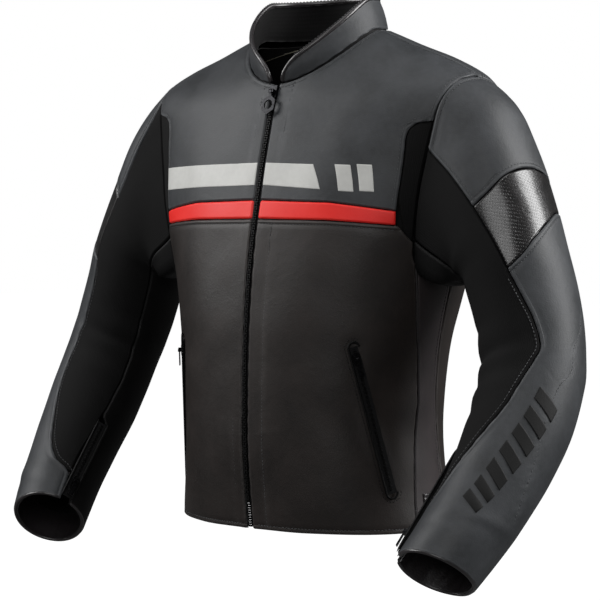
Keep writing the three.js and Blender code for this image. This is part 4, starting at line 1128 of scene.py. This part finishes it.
def slanted(side):
    """The arm's surface and length. Its last 110 mm draw up the arm by half of one plus a cosine round it,
    so that the mouth of the cuff slants."""
    whole, _, _, places = SLEEVES[side]
    turned_to, pulled = CUFF_SLANT[side]

    def surface(angle, s):
        """The arm's surface with its places drawn up towards the shoulder near the mouth."""
        share = (1 + np.cos(np.radians(np.asarray(angle, float) - turned_to))) / 2
        return whole(angle, s - pulled * share * smooth((np.asarray(s, float) - 400) / 100))

    return surface, places[-1]


def outer_pieces(side, surface, length):
    """Shoulder cap, punched patch and the long grey panel, which meet the front seam of the arm."""
    front_seam, patch_end = FRONT_SEAM[side], PATCH_END[side]

    def on_seam(s):
        """Corner of a panel 0.4 degrees short of the front seam."""
        return spline(front_seam, s) - 0.4, s

    add_sleeve_piece("cap", side, panel(
        surface, [(BACK, 0.5), (BACK, 85.6)], seam_rows(front_seam, 0.5, 77.1, -0.4),
        low=[(BACK, 0.5), (0, 0.5), on_seam(0.5)],
        high=[(a, s - 0.4) for a, s in PATCH_TOP] + [on_seam(77.1)],
        finish=GREY, folds=sleeve_folds, sewn="brt"), "shoulder", ["sleeve_cap"])
    add_sleeve_piece("arm_patch", side, panel(
        surface, [(BACK, 86.4), (BACK, 95.6)], seam_rows(front_seam, 78, patch_end - 0.4, -0.4),
        low=[(a, s + 0.4) for a, s in PATCH_TOP] + [on_seam(78)],
        high=[(a, s - 0.4) for a, s in PATCH_LOW] + [on_seam(patch_end - 0.4)],
        finish=PUNCHED, folds=sleeve_folds, lift=-0.6, step=4, drop=1.3),
        "shoulder", ["bicep_patch"])
    elbow_line = [(-16, 200), (-6, 222), (8, 240), (11, 262), (24, 282), (31, 322), (21, 382), (10, 430)]
    add_sleeve_piece("arm_outer", side, panel(
        surface, [(BACK, 96.4), (BACK, length - 0.6)],
        seam_rows(front_seam, patch_end + 0.5, length - 0.6, -0.4, 80),
        low=[(a, s + 0.4) for a, s in PATCH_LOW] + [on_seam(patch_end + 0.5)],
        finish=GREY, folds=sleeve_folds, sewn="rb", lines=[elbow_line]),
        "elbow", ["upper_sleeve_outer", "forearm_outer"])


def inner_pieces(side, surface, length):
    """Stretch knit between the front seam and the inner one, and black leather behind it."""
    front_seam = FRONT_SEAM[side]
    knit = dict(finish=STRETCH, folds=sleeve_folds, step=6, lift=-0.5, drop=1.8)
    add_sleeve_piece("arm_stretch_high", side, panel(
        surface, seam_rows(front_seam, 0.5, BLEND_AT, 0.4), seam_rows(INNER_SEAM, 0.5, BLEND_AT, -0.4),
        roll=(1, 1, 1, 0), **knit), "shoulder", ["upper_sleeve_inner"])
    add_sleeve_piece("arm_stretch_low", side, panel(
        surface, seam_rows(front_seam, BLEND_AT, 463, 0.4, 60),
        seam_rows(INNER_SEAM, BLEND_AT, 463, -0.4, 60), roll=(1, 1, 0, 1), **knit),
        "elbow", [])

    hide = dict(finish=BLACK, folds=sleeve_folds, step=6, thread=BLACK_THREAD)
    rear = BACK + 360 - 0.4
    inside = seam_rows(INNER_SEAM, BLEND_AT, 362, 0.4) + [(171.8, 376), (171.8, length - 0.6)]
    add_sleeve_piece("arm_inside_high", side, panel(
        surface, seam_rows(INNER_SEAM, 0.5, BLEND_AT, 0.4), [(rear, 0.5), (rear, BLEND_AT)],
        roll=(1, 1, 1, 0), **hide), "shoulder", [])
    add_sleeve_piece("arm_inside_low", side, panel(
        surface, inside, [(rear, BLEND_AT), (rear, length - 0.6)], roll=(1, 1, 0, 1), **hide),
        "elbow", ["forearm_inner"])


def arm_lining(side, surface, length):
    """Lining all round the arm: inside the protectors, then close to the leather at the cuff."""
    def hung(angle, s):
        """Depth under the leather: 13.4 mm, easing to 5.4 mm between 380 and 440 mm down the arm."""
        return -13.4 + 8.0 * smooth((s - 380) / 60)
    for name, low, high, joint, cad in (("high", 2.0, BLEND_AT, "shoulder", []),
                                        ("low", BLEND_AT, length - 40, "elbow", ["elbow_lining"])):
        add_sleeve_piece(f"lining_arm_{name}", side, panel(
            surface, [(BACK, low), (BACK, high)], [(BACK + 360, low), (BACK + 360, high)], finish=LINING,
            folds=hung, thick=1.0, soft=0.5, step=10, drop=0.0), joint, cad)


def cuff_pieces(side, surface, full, length):
    """Glazed facing inside the mouth with a folded rim, and the zip between two black cords."""
    def gathered(angle, s):
        """Nineteen small gathers round the mouth, in a bell 18 mm above it."""
        return 0.5 * np.sin(np.radians(angle) * 19) * np.exp(-((s - length + 18) / 14)**2)
    facing = panel(surface, [(172, length - 44), (172, length - 1.2)],
                   [(514, length - 44), (514, length - 1.2)], finish=GLOSS, folds=gathered, lift=-4.0,
                   thick=1.4, soft=0.6, step=4, drop=0.0)
    mouth = [(a, length - 1.2) for a in np.linspace(172.5, 513.5, 40)]
    add_sleeve_piece("cuff_lip", side, facing + [strip(surface, mouth, 4.4, -2.4, GLOSS, flat=0.9)],
                     f"forearm_{side}", ["cuff_facing"])

    origin, x, y, z, run = zip_frame(surface, CUFF_ZIP, (CUFF_ZIP[0], full - 5), 0.2)
    halfway = (CUFF_ZIP[1] + full) / 2
    if z @ (SLEEVES[side][1](halfway) - surface(CUFF_ZIP[0], halfway)) > 0:
        x, z = -x, -z
    run -= full - length
    parts = flat_zip(origin, x, y, z, run)
    for edge in (-1, 1):
        route = origin + x * edge * 6.9 - y * np.linspace(-2, run + 1, 30)[:, None] + z * 0.9
        parts.append(tube(route, 1.4, np.tile(z, (30, 1)), BLACK))
    add_sleeve_piece("wrist_zip", side, parts, f"forearm_{side}", ["cuff_zip"])


def soft_pad(name, side, surface, body, turn, half, low, high):
    """Protector between the leather and the lining: a patch whose thickness crowns as the root of
    (1 - a^4)(1 - b^4), with a and b from -1 to 1 across it and along it."""
    a, b = np.linspace(-1, 1, 25)[None], np.linspace(-1, 1, 25)[:, None]
    angle = turn + a * half + 0 * b
    s = (low + high) / 2 + b * (high - low) / 2 + 0 * a
    crown = ((1 - np.abs(a)**4) * (1 - np.abs(b)**4))**0.5
    p, n = surface(angle, s), outward(surface, angle, s)
    verts, faces = shell(p + n * (-8.4 + 3.2 * crown)[..., None], p - n * (8.8 + 2.8 * crown)[..., None])
    obj = piece(f"{name}_pad_{side}", [(verts, faces, FOAM)], SIDES[side])
    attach(obj, f"{body}_{side}")
    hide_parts(f"{name}_protector_{side}")


def bars_on(surface, rows, count, wide, tall, slant):
    """Row of slanted raised bars along a route on the arm; a degree round it is about 0.92 mm."""
    parts = []
    track = border(rows, curved=True)
    per_degree = 0.92
    for t in (np.arange(count) + 0.5) / count:
        c, ahead = track(t), track(min(t + 0.02, 1)) - track(max(t - 0.02, 0))
        d = unit(np.array([ahead[0] * per_degree, ahead[1]]))
        q = d * slant + np.array([-d[1], d[0]])
        corner = [c + (d * i * wide / 2 + q * j * tall / 2) * (1 / per_degree, 1)
                  for i, j in ((-1, -1), (-1, 1), (1, -1), (1, 1))]
        if np.cross(corner[2] - corner[0], corner[1] - corner[0]) <= 0:
            corner = corner[2:] + corner[:2]
        parts += panel(surface, corner[:2], corner[2:], finish=BARS, lift=0.9, thick=0.9, drop=0.5,
                       radius=1.0, step=4, folds=sleeve_folds)
    return parts


def build_sleeve(side):
    """Every piece of one arm, from the armhole to the mouth of the cuff."""
    surface, full = slanted(side)
    length = full - 1.0
    outer_pieces(side, surface, length)
    inner_pieces(side, surface, length)
    arm_lining(side, surface, length)
    cuff_pieces(side, surface, full, length)
    soft_pad("shoulder", side, surface, "upper_sleeve", 4, 43, 20, 72)
    soft_pad("elbow", side, surface, "forearm", -25, 44, 288, 373)
    if side == "left":
        marks = bars_on(surface, [(76, 452), (54, 372), (32, 294)], 7, 15, 27, 0.35)
        add_sleeve_piece("forearm_bars", side, marks, "elbow", [])


for side in SIDES:
    build_sleeve(side)

# sliders and pullers keep the shape of the CAD and take the lacquered metal
for name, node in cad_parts.items():
    if name.endswith(("slider", "puller")):
        node.data.materials.clear()
        node.data.materials.append(METAL)

# ---------------------------------------------------------------- floor, light and camera
AZIMUTH, ELEVATION, DISTANCE = np.radians(38.0), np.radians(2.5), 2.6
VIEW_WIDTH = 0.714                         # metres across the view where the jacket hangs
VIEW_SHIFT = -2 / 75                       # share of the view that the jacket is moved by
FLOOR_HALF, FLOOR_HEIGHT = 9, -0.80        # metres
aim = place(np.array([0.0, 0.0, 260.0]))
ahead = np.array([-np.sin(AZIMUTH) * np.cos(ELEVATION), np.cos(AZIMUTH) * np.cos(ELEVATION),
                  -np.sin(ELEVATION)])
camera = bpy.data.objects.new("camera", bpy.data.cameras.new("camera"))
camera.data.lens = 36 * DISTANCE / VIEW_WIDTH
camera.data.shift_x = VIEW_SHIFT
camera.location = aim - ahead * DISTANCE
camera.rotation_euler = Vector(ahead).to_track_quat("-Z", "Y").to_euler()
bpy.context.scene.collection.objects.link(camera)
bpy.context.scene.camera = camera

floor = bpy.data.meshes.new("floor")
floor.from_pydata([(x * FLOOR_HALF, y * FLOOR_HALF, FLOOR_HEIGHT)
                   for x, y in ((-1, -1), (1, -1), (1, 1), (-1, 1))], [], [(0, 1, 2, 3)])
floor_obj = bpy.data.objects.new("floor", floor)
paper, tree, paper_shader = material("white_paper_floor", {"Roughness": 0.9, "Specular IOR Level": 0.1})
spot = add(tree, "ShaderNodeTexCoord").outputs["Object"]
fibre = add(tree, "ShaderNodeTexNoise", {"Scale": 3.0}, {"Vector": spot})
shade = add(tree, "ShaderNodeMix", {"A": colour("#565656"), "B": colour("#5c5c5c")},
            {"Factor": fibre.outputs["Fac"]}, data_type="RGBA")
tree.links.new(shade.outputs["Result"], paper_shader.inputs["Base Color"])
# the paper shines white to the camera alone, so that it doesn't light the jacket from below
lit = add(tree, "ShaderNodeLightPath").outputs["Is Camera Ray"]
glow = add(tree, "ShaderNodeMapRange", {"To Min": 0.02, "To Max": 1.0}, {"Value": lit})
tree.links.new(glow.outputs["Result"], paper_shader.inputs["Emission Strength"])
paper_shader.inputs["Emission Color"].default_value = (1, 1, 1, 1)
floor.materials.append(paper)
bpy.context.scene.collection.objects.link(floor_obj)

world = bpy.data.worlds.new("studio")
bpy.context.scene.world = world
world.use_nodes = True
# the surroundings are white to look at, but light the jacket only dimly, as a dark studio would
seen_directly = add(world.node_tree, "ShaderNodeLightPath").outputs["Is Camera Ray"]
glow = add(world.node_tree, "ShaderNodeMapRange", {"To Min": 0.06, "To Max": 1.0},
           {"Value": seen_directly})
background = world.node_tree.nodes["Background"]
world.node_tree.links.new(glow.outputs["Result"], background.inputs["Strength"])
background.inputs["Color"].default_value = (1, 1, 1, 1)
bpy.context.scene.view_settings.view_transform = "Standard"


def lamp(name, azimuth, elevation, away, size, watts, tall=None):
    """Soft box at a direction round the jacket's middle, facing it."""
    data = bpy.data.lights.new(name, "AREA")
    data.shape, data.size, data.size_y, data.energy = "RECTANGLE", size, tall or size, watts
    az, el = np.radians(azimuth), np.radians(elevation)
    back = Vector((np.sin(az) * np.cos(el), -np.cos(az) * np.cos(el), np.sin(el)))
    obj = bpy.data.objects.new(name, data)
    obj.location = Vector(aim) + back * away
    obj.rotation_euler = back.to_track_quat("Z", "Y").to_euler()
    bpy.context.scene.collection.objects.link(obj)


lamp("left_box", -52, 30, 2.4, 1.1, 38, tall=1.5)
lamp("right_box", 116, 30, 2.2, 0.9, 58, tall=1.8)
lamp("top_box", 10, 78, 2.2, 1.4, 10)
lamp("fill_box", 26, 24, 3.0, 1.6, 22)
